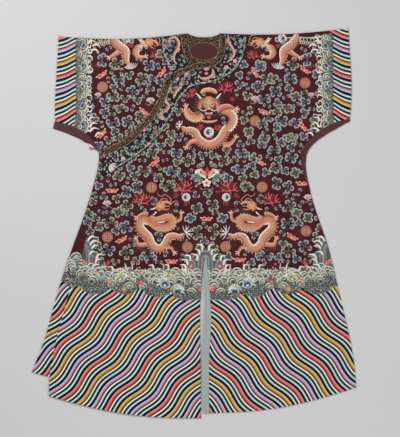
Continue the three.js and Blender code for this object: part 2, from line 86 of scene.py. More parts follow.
# middle x, y, direction in degrees, half length, half width, height
RIDGES = np.array([
    (430, -300, 28, 110, 50, 1.7), (316, -500, 100, 130, 52, 1.5), (-440, -300, -30, 110, 50, 1.8),
    (-350, -640, 76, 160, 56, 1.6), (-440, -1130, 74, 210, 72, 2.3), (-240, -1180, 82, 200, 66, 1.9),
    (-90, -1120, 87, 180, 56, 1.2), (150, -1150, 95, 210, 60, 1.7), (300, -1120, 100, 200, 68, 2.2),
    (450, -1090, 105, 180, 60, 1.8), (200, -430, 70, 140, 62, 1.2), (-140, -570, 105, 150, 62, 1.2),
    (480, -150, 90, 100, 50, 1.5), (-490, -170, 90, 105, 50, 1.6)])
CREASES = np.array([
    (395, -360, 35, 70, 13, 0.7), (350, -440, 62, 60, 12, 0.6), (300, -360, 20, 90, 16, 0.5),
    (-400, -350, -38, 70, 14, 0.7), (-330, -300, -24, 80, 15, 0.5), (-425, -900, 74, 150, 16, 0.7),
    (-350, -1000, 80, 170, 18, 0.6), (-180, -1080, 84, 190, 20, 0.6), (120, -900, 93, 160, 16, 0.5),
    (250, -1010, 97, 190, 19, 0.7), (380, -980, 102, 170, 17, 0.6), (470, -1180, 104, 120, 15, 0.7),
    (-500, -1200, 72, 110, 15, 0.7), (60, -620, 88, 120, 18, 0.4), (-60, -420, 92, 110, 17, 0.4),
    (240, -190, 150, 90, 18, 0.5), (-260, -200, 28, 90, 18, 0.5), (420, -100, 95, 70, 14, 0.5),
    (-430, -110, 84, 70, 14, 0.5), (150, -740, 100, 110, 20, 0.5), (-230, -800, 78, 130, 20, 0.5),
    (330, -720, 104, 120, 18, 0.5), (40, -1250, 92, 110, 15, 0.5), (-300, -1290, 80, 90, 16, 0.6)])


def swell(x, y, humps):
    """Sum of soft ridges: height times exp(-(along / half length)^2 - (across / half width)^2)."""
    total = np.zeros(np.shape(x))
    for middle_x, middle_y, turn, long, wide, high in humps:
        turn = np.radians(turn)
        along = (x - middle_x) * np.cos(turn) + (y - middle_y) * np.sin(turn)
        across = (y - middle_y) * np.cos(turn) - (x - middle_x) * np.sin(turn)
        total = total + high * np.exp(-((along / long) ** 2) - (across / wide) ** 2)
    return total


def ease(value, start, end):
    """0 before start, 1 after end, and 3t^2 - 2t^3 between."""
    t = np.clip((value - start) / (end - start), 0, 1)
    return t * t * (3 - 2 * t)


def on_table(x, y):
    """Underside of the back: half a millimetre up, which leaves room for the embroidery under it."""
    return np.full(np.shape(x), 0.5)


def on_back(x, y):
    """Underside of what lies on the back: its thickness, the ridges and the rise over the neck's lining."""
    from_hole = np.maximum(0, np.hypot(x, y + 50) - 72)
    return LOW + swell(x, y, RIDGES) + swell(x, y, CREASES) + 2.2 * np.exp(-((from_hole / 70) ** 2))


def on_flap(x, y):
    """Underside of the front: one layer higher where the inner flap lies under it, on the right half."""
    return on_back(x, y) + LOW * (1 - ease(x, -29, 70))


print("height of the front at the waist, mm:",
      on_flap(np.array([-200.0, 200.0]), np.array([-700.0, -700.0])).round(2))

# %% [markdown]
# ## The cut of each piece
# A length of silk is described by sections across it: where its inner edge is, where its outer edge is, and
# how far the middle hangs below the line between them. A smooth line through each column of the table gives
# the edges, broken only where the cloth has a real corner.

# %% Section tables: inner x, y, outer x, y, bow
LEFT_FRONT = np.array([
    (57, 3, 527, 22, 11), (56, -25, 530, -30, 7), (53, -52, 533, -80, 4), (43, -77, 536, -128, 2),
    (25, -93, 538, -168, 0), (0.15, -98, 538, -208, 0), (0.15, -168, 536, -262, 0),
    (0.15, -222, 532, -305, 0), (0.15, -268, 470, -322, 0), (0.15, -308, 425, -347, 0),
    (0.15, -350, 386, -379, 0), (0.15, -396, 361, -416, 0), (0.15, -450, 354, -456, 0),
    (0.15, -512, 364, -512, 0), (0.15, -575, 386, -568, 0), (0.15, -640, 402, -622, 0),
    (0.15, -735, 434, -716, 2), (0.15, -800, 456, -785, 4), (2, -860, 471, -850, 6), (3, -930, 487, -915, 9),
    (1, -1040, 512, -1020, 14), (-4, -1160, 534, -1118, 19), (-5, -1270, 549, -1210, 24),
    (-2, -1380, 555, -1286, 27)])
LEFT_BACK = np.array([
    (57, 3, 527, 22, 11), (31, -6, 528, -8, 8), (0.15, -11, 531, -48, 5), (0.15, -120, 536, -180, 0),
    (0.15, -245, 531, -308, 0), (0.15, -290, 469, -346, 0), (0.15, -345, 410, -382, 0),
    (0.15, -405, 376, -424, 0), (0.15, -465, 370, -466, 0), (0.15, -620, 399, -615, 0),
    (0.15, -800, 454, -785, 4), (5, -930, 485, -915, 9), (6, -1160, 532, -1118, 19),
    (6, -1372, 552, -1281, 27)])
RIGHT_FRONT = np.array([
    (-57, 3, -531, -7, 14), (-55, -24, -533, -52, 8), (-51, -50, -536, -104, 4), (-42, -76, -539, -158, 2),
    (-32, -98, -542, -205, 0), (-30, -160, -544, -262, 0), (-30, -222, -544, -314, 0),
    (-30, -270, -471, -336, 0), (-30, -322, -416, -372, 0), (-30, -385, -388, -412, 0),
    (-30, -450, -383, -456, 0), (-30, -545, -403, -548, 0), (-30, -660, -436, -655, 0),
    (-30, -800, -485, -790, 3), (-30, -950, -537, -949, 6), (-30, -1120, -583, -1116, 12),
    (-30, -1200, -600, -1160, 16), (-30, -1340, -628, -1231, 20)])
RIGHT_BACK = np.array([
    (-57, 3, -531, -7, 14), (-31, -6, -532, -32, 10), (-0.15, -11, -534, -70, 6),
    (-0.15, -130, -541, -200, 0), (-0.15, -255, -540, -340, 0), (-0.15, -300, -478, -366, 0),
    (-0.15, -360, -418, -396, 0), (-0.15, -420, -383, -432, 0), (-0.15, -480, -384, -478, 0),
    (-0.15, -640, -428, -635, 0), (-0.15, -800, -482, -790, 4), (-17, -950, -534, -949, 9),
    (-18, -1150, -588, -1140, 15), (-17, -1340, -620, -1222, 20)])
OVERLAP = np.array([
    (-0.15, -98, -22, -99, 0), (-0.15, -113, -72, -117, 0), (-0.15, -132, -119, -138, 0),
    (-0.15, -165, -146, -172, 0), (-0.15, -210, -163, -224, 0), (-0.15, -262, -194, -277, 0),
    (-0.15, -310, -236, -328, 0), (-0.15, -350, -279, -370, 0), (-0.15, -385, -326, -397, 0),
    (-0.15, -420, -370, -419, 0), (-0.15, -500, -376, -500, 0), (-0.15, -605, -388, -600, 0),
    (-0.15, -710, -420, -700, 0), (-0.15, -800, -442, -790, 3), (-7, -862, -464, -858, 4),
    (-13, -940, -490, -936, 6), (-14, -1060, -524, -1055, 12), (-13, -1180, -548, -1158, 18),
    (-12, -1290, -563, -1245, 24), (-11, -1398, -566, -1318, 25)])
SLIT_FACING = np.array([
    (6, -806, 9, -806, 0), (-3, -858, 14, -858, 0), (-6, -900, 18, -900, 0), (0, -950, 22, -950, 0),
    (-1, -1040, 26, -1040, 0), (-7, -1160, 20, -1157, 0), (-8, -1270, 18, -1270, 0),
    (-4, -1379, 19, -1379, 0)])
# The collar has three lines: the neckline, the seam of binding and band, and the band's waved edge.
COLLAR = np.array([
    (58.5, -2, 79, -3, 157, -4), (57.5, -27, 79, -31, 155, -50), (54.5, -53, 74, -65, 136, -97),
    (45, -78, 60, -94, 104, -138), (26, -94.5, 34, -114, 58, -166), (0, -99.5, -2, -121, 2, -181),
    (-22, -101.5, -30, -123, -50, -194), (-71, -120, -78, -142, -85, -230),
    (-116, -140, -106, -164, -103, -262), (-144, -174, -123, -184, -120, -300),
    (-161, -225, -140, -233, -142, -334), (-192, -278, -174, -291, -166, -368),
    (-235, -330, -221, -347, -203, -408), (-279, -372, -268, -392, -243, -440),
    (-325, -399, -319, -421, -284, -468), (-356, -414, -354, -436, -330, -496),
    (-368.5, -420.5, -370, -440, -372, -516)])
UNDER_COLLAR = np.array([
    (-58.5, -2, -84, -4, -158, -9), (-56.5, -26, -81, -33, -156, -55), (-52.5, -52, -73, -66, -144, -94),
    (-44, -77, -60, -95, -130, -122), (-36, -101.5, -56, -109, -119, -136)])


def smooth_line(points, places, corners=()):
    """Centripetal Catmull-Rom line through points, read at places counted in points, sharp at the corners."""
    points, places = np.asarray(points, float), np.asarray(places, float)
    ends = sorted({0, len(points) - 1, *corners})
    line = np.empty((len(places), points.shape[1]))
    for first, last in zip(ends, ends[1:]):
        run = points[first:last + 1]
        run = np.vstack([2 * run[0] - run[1], run, 2 * run[-1] - run[-2]])
        here = (places >= first) & (places <= last)
        piece = np.minimum((places[here] - first).astype(int), last - first - 1)
        t = (places[here] - first - piece)[:, None]
        p = [run[piece + k] for k in range(4)]
        d = [np.sqrt(np.maximum(np.linalg.norm(p[k + 1] - p[k], axis=1, keepdims=True), 1e-6))
             for k in range(3)]
        leave = ((p[1] - p[0]) / d[0] - (p[2] - p[0]) / (d[0] + d[1]) + (p[2] - p[1]) / d[1]) * d[1]
        reach = ((p[2] - p[1]) / d[1] - (p[3] - p[1]) / (d[1] + d[2]) + (p[3] - p[2]) / d[2]) * d[1]
        line[here] = (p[1] * (2 * t**3 - 3 * t**2 + 1) + leave * (t**3 - 2 * t**2 + t)
                      + p[2] * (3 * t**2 - 2 * t**3) + reach * (t**3 - t**2))
    return line


def even_places(table, spacing, rims=(True, True)):
    """Places along a table about one spacing apart, with a few more at the ends that have a turned rim."""
    coarse = np.linspace(0, len(table) - 1, 60 * len(table))
    middle = smooth_line((table[:, :2] + table[:, 2:4]) / 2, coarse)
    far = np.r_[0, np.cumsum(np.linalg.norm(np.diff(middle, axis=0), axis=1))]
    stops = np.linspace(0, far[-1], max(3, int(far[-1] / spacing)))
    close = np.array([0.12, 0.4, 1.0])
    stops = np.r_[close * rims[0], stops, far[-1] - close * rims[1]]
    return np.interp(np.unique(stops), far, coarse), np.unique(stops), far[-1]


def rows_across(table, places, columns, inner_corners=(), outer_corners=()):
    """Each row runs from the inner to the outer edge, its middle hung down by bow x sin(pi u)."""
    inner = smooth_line(table[:, :2], places, inner_corners)[:, None]
    outer = smooth_line(table[:, 2:4], places, outer_corners)[:, None]
    wide = np.linalg.norm(outer - inner, axis=2)
    close = np.minimum(np.array([0, 0.12, 0.4, 1.0]), wide * np.array([0, 0.04, 0.1, 0.18]))
    share = np.linspace(0, 1, columns + 2)[1:-1]
    off = np.sort(np.hstack([close, wide * share, wide - close[:, ::-1]]), axis=1)
    u = (off / wide)[..., None]
    xy = inner + (outer - inner) * u
    bow = np.interp(places, np.arange(len(table)), table[:, 4])[:, None]
    xy[..., 1] -= bow * np.sin(np.pi * u[..., 0])
    return xy, off, np.minimum(off, wide - off)


print("section tables:", {"front": len(LEFT_FRONT), "overlap": len(OVERLAP), "collar": len(COLLAR)})

# %% [markdown]
# ## Shader sums written as Python
# A material is a small calculation. One class wraps a socket so that `+`, `*` or `%` on it adds the matching
# Math node, which keeps a stripe's sum readable as a sum. Everything else is added by one method, `add`.


# %% Sockets that can be added and multiplied
class Wire:
    """One output socket. Arithmetic on it, also as in 1 - wire, adds a Math node."""

    def __init__(self, nodes, socket):
        self.nodes, self.socket = nodes, socket

    def math(self, operation, *values):
        return self.nodes.add("Math", {"operation": operation}, dict(enumerate(values)))

    def __add__(self, other):
        return self.math("ADD", self, other)

    def __sub__(self, other):
        return self.math("SUBTRACT", self, other)

    def __rsub__(self, other):
        return self.math("SUBTRACT", other, self)

    def __mul__(self, other):
        return self.math("MULTIPLY", self, other)

    def __truediv__(self, other):
        return self.math("DIVIDE", self, other)

    def __mod__(self, other):
        return self.math("FLOORED_MODULO", self, other)

    def __gt__(self, other):
        return self.math("GREATER_THAN", self, other)

    __radd__, __rmul__ = __add__, __mul__


class Nodes:
    """A new material's node tree, with its Principled shader as .skin."""

    def __init__(self, name, roughness=0.5, sheen=0.0, tint=(1, 1, 1), metallic=0.0, specular=0.4):
        self.material = bpy.data.materials.new(name)
        self.material.use_nodes = True
        self.tree = self.material.node_tree
        self.skin = self.tree.nodes["Principled BSDF"]
        fixed = {"Roughness": roughness, "Sheen Weight": sheen, "Sheen Roughness": 0.35, "Metallic": metallic,
                 "Specular IOR Level": specular, "Sheen Tint": (*tint, 1)}
        for socket, value in fixed.items():
            self.skin.inputs[socket].default_value = value

    def add(self, kind, settings={}, sockets={}, out=0):
        """Adds a node: its settings first (stops for a ramp), then the values or wires of its sockets."""
        node = self.tree.nodes.new("ShaderNode" + kind)
        for key, value in settings.items():
            if key == "stops":
                ramp = node.color_ramp
                while len(ramp.elements) < len(value):
                    ramp.elements.new(1.0)
                for element, (place, colour) in zip(ramp.elements, value):
                    element.position = place
                    element.color = (*colour, 1) if np.ndim(colour) else (colour, colour, colour, 1)
            elif key == "interpolation":
                node.color_ramp.interpolation = value
            else:
                setattr(node, key, value)
        for key, value in sockets.items():
            if isinstance(value, Wire):
                self.tree.links.new(value.socket, node.inputs[key])
            else:
                node.inputs[key].default_value = value
        return Wire(self, node.outputs[out])

    def attribute(self, name, out="Fac"):
        return self.add("Attribute", {"attribute_name": name}, out=out)

    def position(self, *scale):
        """Object coordinates, which are frame metres here, times a scale on each axis."""
        return self.add("Mapping", {}, {"Vector": self.add("TexCoord", out="Object"), "Scale": scale})

    def mix(self, factor, first, second):
        """First where factor is 0, second where it is 1; each is a wire or an (r, g, b)."""
        pair = {6: first, 7: second}
        pair = {k: v if isinstance(v, Wire) else (*v, 1) for k, v in pair.items()}
        return self.add("Mix", {"data_type": "RGBA"}, {0: factor, **pair}, out=2)

    def shine(self, **links):
        """Links wires to the shader's own sockets; underscores in the names stand for spaces."""
        for name, wire in links.items():
            self.tree.links.new(wire.socket, self.skin.inputs[name.replace("_", " ")])

    def raise_by(self, height, distance, strength=1.0):
        """A bump of the given depth in metres, from a height wire."""
        return self.add("Bump", {}, {"Height": height, "Distance": distance, "Strength": strength})


def dye(*rgb):
    """An sRGB colour of 0 to 255 as linear light: (c/255 + 0.055)/1.055 to the power 2.4, or c/3294."""
    c = np.array(rgb) / 255.0
    return tuple(np.where(c <= 0.04045, c / 12.92, ((c + 0.055) / 1.055) ** 2.4).round(5))


def dyes(*tones):
    """A palette, from (r, g, b) tones of 0 to 255."""
    return [dye(*tone) for tone in tones]


print("ground silk, linear:", dye(70, 27, 31))

# %% [markdown]
# ## Silk with wave stripes
# The hem and the sleeve ends carry slanting stripes of satin stitch: a wide shaded band in rose, gold or
# lilac, then cream, dark green, pale blue and navy. The shells carry the stripe's running number as an
# attribute, so the fraction of it picks the stripe and the whole part of it picks the wide band's colour.
# Each stripe is padded, which the bump gives, and its threads lie across it.

# %% The striped silk
STRIPES = [(0.0, dye(8, 12, 24)), (0.025, None), (0.07, None), (0.2, None), (0.275, None),
           (0.31, dye(18, 16, 20)), (0.345, dye(14, 16, 16)), (0.37, dye(240, 230, 204)),
           (0.43, dye(250, 246, 228)), (0.475, dye(186, 184, 154)), (0.505, dye(14, 34, 28)),
           (0.58, dye(12, 40, 34)), (0.645, dye(10, 24, 22)), (0.675, dye(190, 222, 222)),
           (0.735, dye(222, 240, 242)), (0.79, dye(122, 160, 164)), (0.825, dye(10, 22, 34)),
           (0.99, dye(8, 12, 24))]
WIDE_BANDS = [dyes((244, 170, 158), (236, 136, 126), (208, 82, 82), (128, 30, 38)),
              dyes((240, 210, 150), (226, 182, 106), (196, 142, 60), (108, 68, 14)),
              dyes((234, 208, 226), (214, 178, 206), (180, 134, 172), (90, 48, 82))]
RELIEF = [(0.0, 0.0), (0.03, 0.25), (0.15, 1.0), (0.28, 0.3), (0.33, 0.0), (0.36, 0.25), (0.43, 0.8),
          (0.5, 0.15), (0.53, 0.2), (0.58, 0.7), (0.65, 0.15), (0.68, 0.25), (0.74, 0.8), (0.81, 0.15),
          (0.83, 0.2), (0.9, 0.7), (0.97, 0.2)]


def striped_silk():
    """Ground silk where zone is 0, wave stripes where it is 1; wave counts the stripe groups."""
    n = Nodes("embroidered silk", roughness=0.55, sheen=0.02, tint=(0.9, 0.6, 0.6), specular=0.09)
    wave, zone, run = (n.attribute(name) for name in ("wave", "zone", "run"))
    part = wave % 1.0
    turn = (wave - part) % 3.0
    bands = []
    for band in WIDE_BANDS:
        fill = iter(band)
        stops = [(place, colour if colour else next(fill)) for place, colour in STRIPES]
        bands.append(n.add("ValToRGB", {"stops": stops}, {0: part}))
    stripes = n.mix(turn > 1.5, n.mix(turn > 0.5, bands[0], bands[1]), bands[2])
    threads = n.add("TexNoise", {}, {"Vector": n.add("CombineXYZ", {}, {0: wave * 9.0, 1: run * 1400.0}),
                                     "Scale": 1.0, "Detail": 2.0})
    stripes = n.mix(threads * 0.2, stripes, (0.003, 0.003, 0.004))
    fading = n.add("TexNoise", {}, {"Vector": n.position(9, 9, 9), "Scale": 1.0, "Detail": 4.0})
    weave = n.add("TexWave", {"bands_direction": "DIAGONAL"}, {"Vector": n.position(1, 1, 1), "Scale": 420.0,
                                                             "Distortion": 0.6, "Detail": 1.0})
    worn = n.add("ValToRGB", {"stops": [(0.3, dye(54, 18, 23)), (0.52, dye(66, 24, 29)),
                                        (0.75, dye(80, 32, 36))]}, {0: fading})
    ground = n.mix(weave * 0.12, worn, dye(98, 46, 46))
    n.shine(Base_Color=n.mix(zone, ground, stripes), Roughness=0.40 + fading * 0.12 + threads * 0.06)
    relief = n.add("ValToRGB", {"stops": RELIEF}, {0: part})
    height = zone * (relief * 0.8 + threads * 0.25) + (1.0 - zone) * weave * 0.14
    n.shine(Normal=n.raise_by(height, 0.0006))
    return n.material


SILK_FINISH = striped_silk()
print("stripe group:", len(STRIPES), "stops, times", len(WIDE_BANDS), "band colours")

# %% [markdown]
# ## Turning sections into shells
# A cloth piece is a closed wall: an upper and a lower grid that meet at the rim, where the wall's thickness
# falls to nothing along a quarter circle. That rounds every cut edge as a turned and pressed seam is rounded.
# A UV map lays the grids out flat side by side, at their real proportions, for whoever bakes the finish.


# %% Shell builder
def new_piece(name, points, faces, material, slot=None, replaces=()):
    """A smooth mesh object that rides on the robe's only body, from points in robe millimetres."""
    mesh = bpy.data.meshes.new(name)
    mesh.from_pydata(to_frame(points).tolist(), [], faces)
    mesh.polygons.foreach_set("use_smooth", np.full(len(mesh.polygons), True))
    mesh.materials.append(material)
    piece = bpy.data.objects.new(name, mesh)
    bpy.context.scene.collection.objects.link(piece)
    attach(piece, "root")
    if replaces:
        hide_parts(*replaces)
    return piece


def turns(count):
    """Angles evenly round a circle, the end left out."""
    return np.linspace(0, 2 * np.pi, count + 1)[:-1]


def oval(x, y, wide, tall, angles):
    """Points at angles on an oval about (x, y)."""
    return np.column_stack([x + wide * np.cos(angles), y + tall * np.sin(angles)])


def quads(grid):
    """The four-sided faces of a grid of vertex numbers."""
    return np.stack([grid[:-1, :-1], grid[1:, :-1], grid[1:, 1:], grid[:-1, 1:]], axis=2).reshape(-1, 4)


def round_quads(rings):
    """The faces between rings of vertex numbers, each ring closed on itself."""
    a, b = rings[:-1], rings[1:]
    return np.stack([a, np.roll(a, -1, 1), np.roll(b, -1, 1), b], axis=2).reshape(-1, 4)


def write_map(piece, name, corners):
    """Writes one coordinate pair for each face corner as a UV map."""
    layer = piece.data.uv_layers.new(name=name)
    layer.data.foreach_set("uv", corners.astype(np.float32).ravel())


def lay_out(piece, corners):
    """The map for baking the finish: the corners' places on the flat cloth, shrunk to the unit square."""
    corners = corners - corners.min(axis=0)
    write_map(piece, "OFBake", 0.002 + 0.996 * corners / corners.max())


def write(piece, name, values, kind="FLOAT"):
    """Writes one value or colour for each vertex as a named attribute."""
    layer = piece.data.attributes.new(name, kind, "POINT")
    values = np.asarray(values, np.float32)
    if kind == "FLOAT_COLOR":
        values = np.hstack([values, np.ones((len(values), 1), np.float32)])
    layer.data.foreach_set("value" if kind == "FLOAT" else "color", values.ravel())


def shell(name, middle, normals, inset, flat, thickness, material, folds=(), **facts):
    """Closes a wall about a grid: each side lies half the thickness off, less near the rim.

    At d from the rim and with r half the thickness, it lies r sqrt(1 - (1 - d/r)^2) off. middle and normals
    are (rows, columns, 3), inset is d, flat is each vertex's place on the cut cloth, and folds are rows where
    the flat layout is parted.
    """
    rows, columns = inset.shape
    radius = thickness / 2
    half = radius * np.sqrt(1 - (1 - np.clip(inset / radius, 0, 1)) ** 2)[..., None]
    index = np.arange(rows * columns).reshape(rows, columns)
    rim = np.ones((rows, columns), bool)
    rim[1:-1, 1:-1] = False
    lower = np.where(rim, index, 0)
    lower[~rim] = rows * columns + np.arange((~rim).sum())
    upper_points, lower_points = middle + normals * half, (middle - normals * half)[~rim]
    vertices = np.vstack([upper_points.reshape(-1, 3), lower_points])
    up, down = quads(index), quads(lower)[:, ::-1]
    a, b, c = (upper_points.reshape(-1, 3)[up[:, k]] for k in (0, 1, 2))
    facing = np.einsum("ij,ij->i", np.cross(b - a, c - b), normals.reshape(-1, 3)[up[:, 0]])
    if np.median(facing) < 0:
        up, down = up[:, ::-1], down[:, ::-1]
    piece = new_piece(name, vertices, np.vstack([up, down]), material, **facts)
    # Flat layout: one strip of cloth for each side and each stretch between folds, set side by side.
    place = np.vstack([flat.reshape(-1, 2), flat[~rim]])
    row_of = np.repeat(np.arange(rows), columns)
    face_rows = row_of[quads(index)].min(axis=1)
    stretch = np.searchsorted(folds, face_rows, side="right")
    wide = np.ptp(flat[..., 0]) + 8
    corners = []
    for side, faces in enumerate((up, down)):
        place_side = place[faces].copy()
        for k in range(len(folds) + 1):
            here = stretch == k
            low = place_side[here].reshape(-1, 2).min(axis=0)
            place_side[here] += [wide * (2 * k + side) - low[0], -low[1]]
        corners.append(place_side.reshape(-1, 2))
    lay_out(piece, np.vstack(corners))
    return piece, vertices


def sheet(name, table, spacing, columns, underside, thickness, material, corners=((), ()), **facts):
    """A single sheet that lies on the layer below it."""
    places, stops, length = even_places(table, spacing)
    xy, off, edge = rows_across(table, places, columns, *corners)
    inset = np.minimum(edge, np.minimum(stops, length - stops)[:, None])
    z = underside(xy[..., 0], xy[..., 1]) + thickness / 2
    middle = np.dstack([xy, z])
    flat = np.dstack([off, np.broadcast_to(stops[:, None], off.shape)])
    normals = np.broadcast_to([0.0, 0.0, 1.0], middle.shape)
    return shell(name, middle, normals, inset, flat, thickness, material, **facts)


def folded_length(name, front, back, underside, corners, material, **facts):
    """A front and a back sheet joined by a half-round turn over the shoulder."""
    sides = []
    for table, under, (inner, outer) in ((front, underside, corners[0]), (back, on_table, corners[1])):
        places, stops, length = even_places(table, 11, rims=(False, True))
        xy, off, edge = rows_across(table, places, 46, inner, outer)
        inset = np.minimum(edge, (length - stops)[:, None])
        sides.append((np.dstack([xy, under(xy[..., 0], xy[..., 1]) + SILK / 2]), off, inset, stops))
    (high, off, high_inset, high_stops), (low, low_off, low_inset, low_stops) = sides
    turn = np.linspace(0, np.pi, 9)[:, None]
    radius = (high[0, :, 2] - low[0, :, 2]) / 2
    over = np.empty((9, high.shape[1], 3))
    over[..., 0] = high[0, :, 0]
    over[..., 1] = high[0, :, 1] + np.sin(turn) * radius
    over[..., 2] = low[0, :, 2] + radius * (1 + np.cos(turn))
    over_normals = np.zeros_like(over)
    over_normals[..., 1], over_normals[..., 2] = np.sin(turn), np.cos(turn)
    up, down = np.zeros_like(high[1:]), np.zeros_like(low[1:])
    up[..., 2], down[..., 2] = 1, -1
    middle = np.vstack([high[1:][::-1], over, low[1:]])
    normals = np.vstack([up, over_normals, down])
    inset = np.vstack([high_inset[1:][::-1], np.repeat(high_inset[:1], 9, axis=0), low_inset[1:]])
    far = np.r_[-high_stops[1:][::-1], np.linspace(0, 9, 9), 9 + low_stops[1:]]
    flat = np.dstack([np.vstack([off[1:][::-1], np.repeat(off[:1], 9, axis=0), low_off[1:]]),
                      np.broadcast_to(far[:, None], inset.shape)])
    return shell(name, middle, normals, inset, flat, SILK, material, folds=[len(high) + 3], **facts)


# %% Where the wave stripes run
HEM_LINE = np.array([(0, -945), (60, -940), (150, -925), (300, -905), (420, -895), (560, -878), (640, -870)])


def stripe_fields(points, half, tilt=47.0, start=532.0, group=45.3):
    """The stripe number, the zone and the run along the stripe, for vertices on the robe.

    On the hem a stripe is a line at the given tilt, displaced by 8 cos(2 pi (s + 1085) / 187), where s is the
    distance along it. The left half is the mirror image. On a sleeve the lines rise by 0.38 mm for each mm at
    the shoulder and by 0.64 mm at the underarm.
    """
    x, y = -half * points[:, 0], points[:, 1]
    turn = np.radians(tilt)
    s = x * np.cos(turn) + y * np.sin(turn)
    q = x * np.sin(turn) - y * np.cos(turn) - 8 * np.cos(2 * np.pi * (s + 1085) / 187)
    hem = (q - start) / group + 0.15
    rise = 0.38 + 0.26 * ease(-y, 150, 420)
    sleeve = (y - rise * (x + 466) + 130.3 + 2.5 * np.sin(x / 14)) / 48.0 + 30.15
    on_sleeve = y > -420
    top = np.interp(np.abs(x), *HEM_LINE.T)
    zone = np.where(on_sleeve, ease(-x, 463, 466), ease(top - y, 0, 3))
    return np.where(on_sleeve, sleeve, hem), zone, np.where(on_sleeve, x, s) * MM


def stripe(piece, points, half, **shape):
    """Writes the stripe attributes of one body piece."""
    for name, values in zip(("wave", "zone", "run"), stripe_fields(points, half, **shape)):
        write(piece, name, values)


# %% The three embroidered lengths
left_body, points = folded_length("left_body_cloth", LEFT_FRONT, LEFT_BACK, on_flap,
                                  (([5, 17], [7]), ([2, 10], [4])), SILK_FINISH, slot="silk",
                                  replaces=["left_body_and_sleeve"])
stripe(left_body, points, 1, start=513.0, group=45.7)
right_body, points = folded_length("right_body_cloth", RIGHT_FRONT, RIGHT_BACK, on_back,
                                   (([], [6]), ([2, 10], [4])), SILK_FINISH, slot="silk",
                                   replaces=["right_body_sleeve_and_inner_flap"])
stripe(right_body, points, -1, tilt=42.0, start=257.0, group=45.0)
overlap, points = sheet("front_overlap_cloth", OVERLAP, 10, 46, on_flap, SILK, SILK_FINISH, (([13], [9])),
                        slot="silk", replaces=["front_overlap"])
stripe(overlap, points, -1)
for piece in (left_body, right_body, overlap):
    print(piece.name, len(piece.data.polygons), "faces")

# %% [markdown]
# ## The plain cloths
# The strips, the collar and the facings use cloths without stitched pictures. Each has a colour, a second
# colour for its weave, and a bump of the same weave, fine enough to be felt and too fine to be counted.


# %% Cloth finishes
def cloth(name, colour, second, scale, roughness=0.5, sheen=0.3):
    """Two-tone weave: fine ribs in the second colour, and a slow change of tone over the piece."""
    n = Nodes(name, roughness=roughness, sheen=0.3 * sheen,
              tint=tuple(np.clip(np.array(second) * 2 + 0.3, 0, 1)), specular=0.2)
    ribs = n.add("TexWave", {"bands_direction": "DIAGONAL"},
                 {"Vector": n.position(1, 1, 1), "Scale": scale, "Distortion": 1.5, "Detail": 1.0})
    slow = n.add("TexNoise", {}, {"Vector": n.position(14, 14, 14), "Scale": 1.0, "Detail": 3.0})
    n.shine(Base_Color=n.mix(ribs * 0.3 + slow * 0.3, colour, second),
            Roughness=roughness - 0.06 + slow * 0.12, Normal=n.raise_by(ribs, 0.0002, 0.5))
    return n.material


def brocade_finish():
    """A closed diaper of gold scrolls on brown: rings about the points of a cell pattern, broken by noise."""
    n = Nodes("gold brocade", roughness=0.55, sheen=0.02, specular=0.12)
    cells = n.add("TexVoronoi", {"feature": "F1"}, {"Vector": n.position(1, 1, 0), "Scale": 84.0,
                                                    "Randomness": 0.6})
    rings = n.add("Math", {"operation": "SINE"}, {0: cells * 16.0})
    grain = n.add("TexNoise", {}, {"Vector": n.position(1, 1, 1), "Scale": 700.0, "Detail": 2.0})
    figure = n.add("ValToRGB", {"stops": [(0.5, 0.0), (0.74, 1.0)]}, {0: rings * 0.4 + 0.28 + grain * 0.38})
    n.shine(Base_Color=n.mix(figure, dye(22, 13, 12), dye(116, 92, 72)), Roughness=0.6 - figure * 0.14,
            Normal=n.raise_by(figure, 0.0003, 0.6))
    return n.material


def metal_finish(name, colour, roughness):
    """Worn metal: the roughness and the tone follow one noise."""
    n = Nodes(name, roughness=roughness, metallic=1.0)
    wear = n.add("TexNoise", {}, {"Vector": n.position(1, 1, 1), "Scale": 260.0, "Detail": 3.0})
    n.shine(Base_Color=n.mix(wear, tuple(0.55 * np.array(colour)), colour),
            Roughness=roughness - 0.1 + wear * 0.25)
    return n.material


def cord_finish(name, colour, dark):
    """Twisted or wound thread: slanting ribs round the cord, its colour on the ribs and painted shade in the
    grooves.
    """
    n = Nodes(name, roughness=0.5, sheen=0.2)
    ribs = n.add("TexWave", {"bands_direction": "DIAGONAL"},
                 {"Vector": n.position(1, 1, 1), "Scale": 300.0, "Distortion": 0.3})
    # The second colour sits in the grooves between the ribs, where the bump is lowest: it is painted shade.
    n.shine(Base_Color=n.mix(ribs, dark, colour), Normal=n.raise_by(ribs, 0.0004, 0.8))
    return n.material


PLAIN = cloth("plain silk", dye(70, 34, 38), dye(104, 60, 60), scale=380.0)
BLACK = cloth("black satin", dye(10, 8, 12), dye(30, 24, 30), scale=600.0, roughness=0.55, sheen=0.03)
AQUA = cloth("aqua silk", dye(140, 152, 150), dye(186, 194, 184), scale=300.0)
PLUM = cloth("lining silk", dye(60, 22, 24), dye(98, 46, 48), scale=300.0, sheen=0.1)
BROCADE = brocade_finish()
BRASS = metal_finish("brass", dye(196, 152, 84), 0.34)
# Each cord's second, darker colour is the painted shade in the grooves of its twist.
GOLD_CORD = cord_finish("gold cord", dye(190, 156, 104), dye(92, 66, 40))
BRAID = cord_finish("braided cord", dye(120, 92, 74), dye(56, 38, 34))
print("finishes:", [m.name for m in bpy.data.materials])

# %% [markdown]
# ## Strips, collar, facings and button
# The plain strips follow the sleeve's lower edge, so they are made from that edge. The collar lies on the
# front with its binding on the inside, and the lining shows through the neck as an oval.


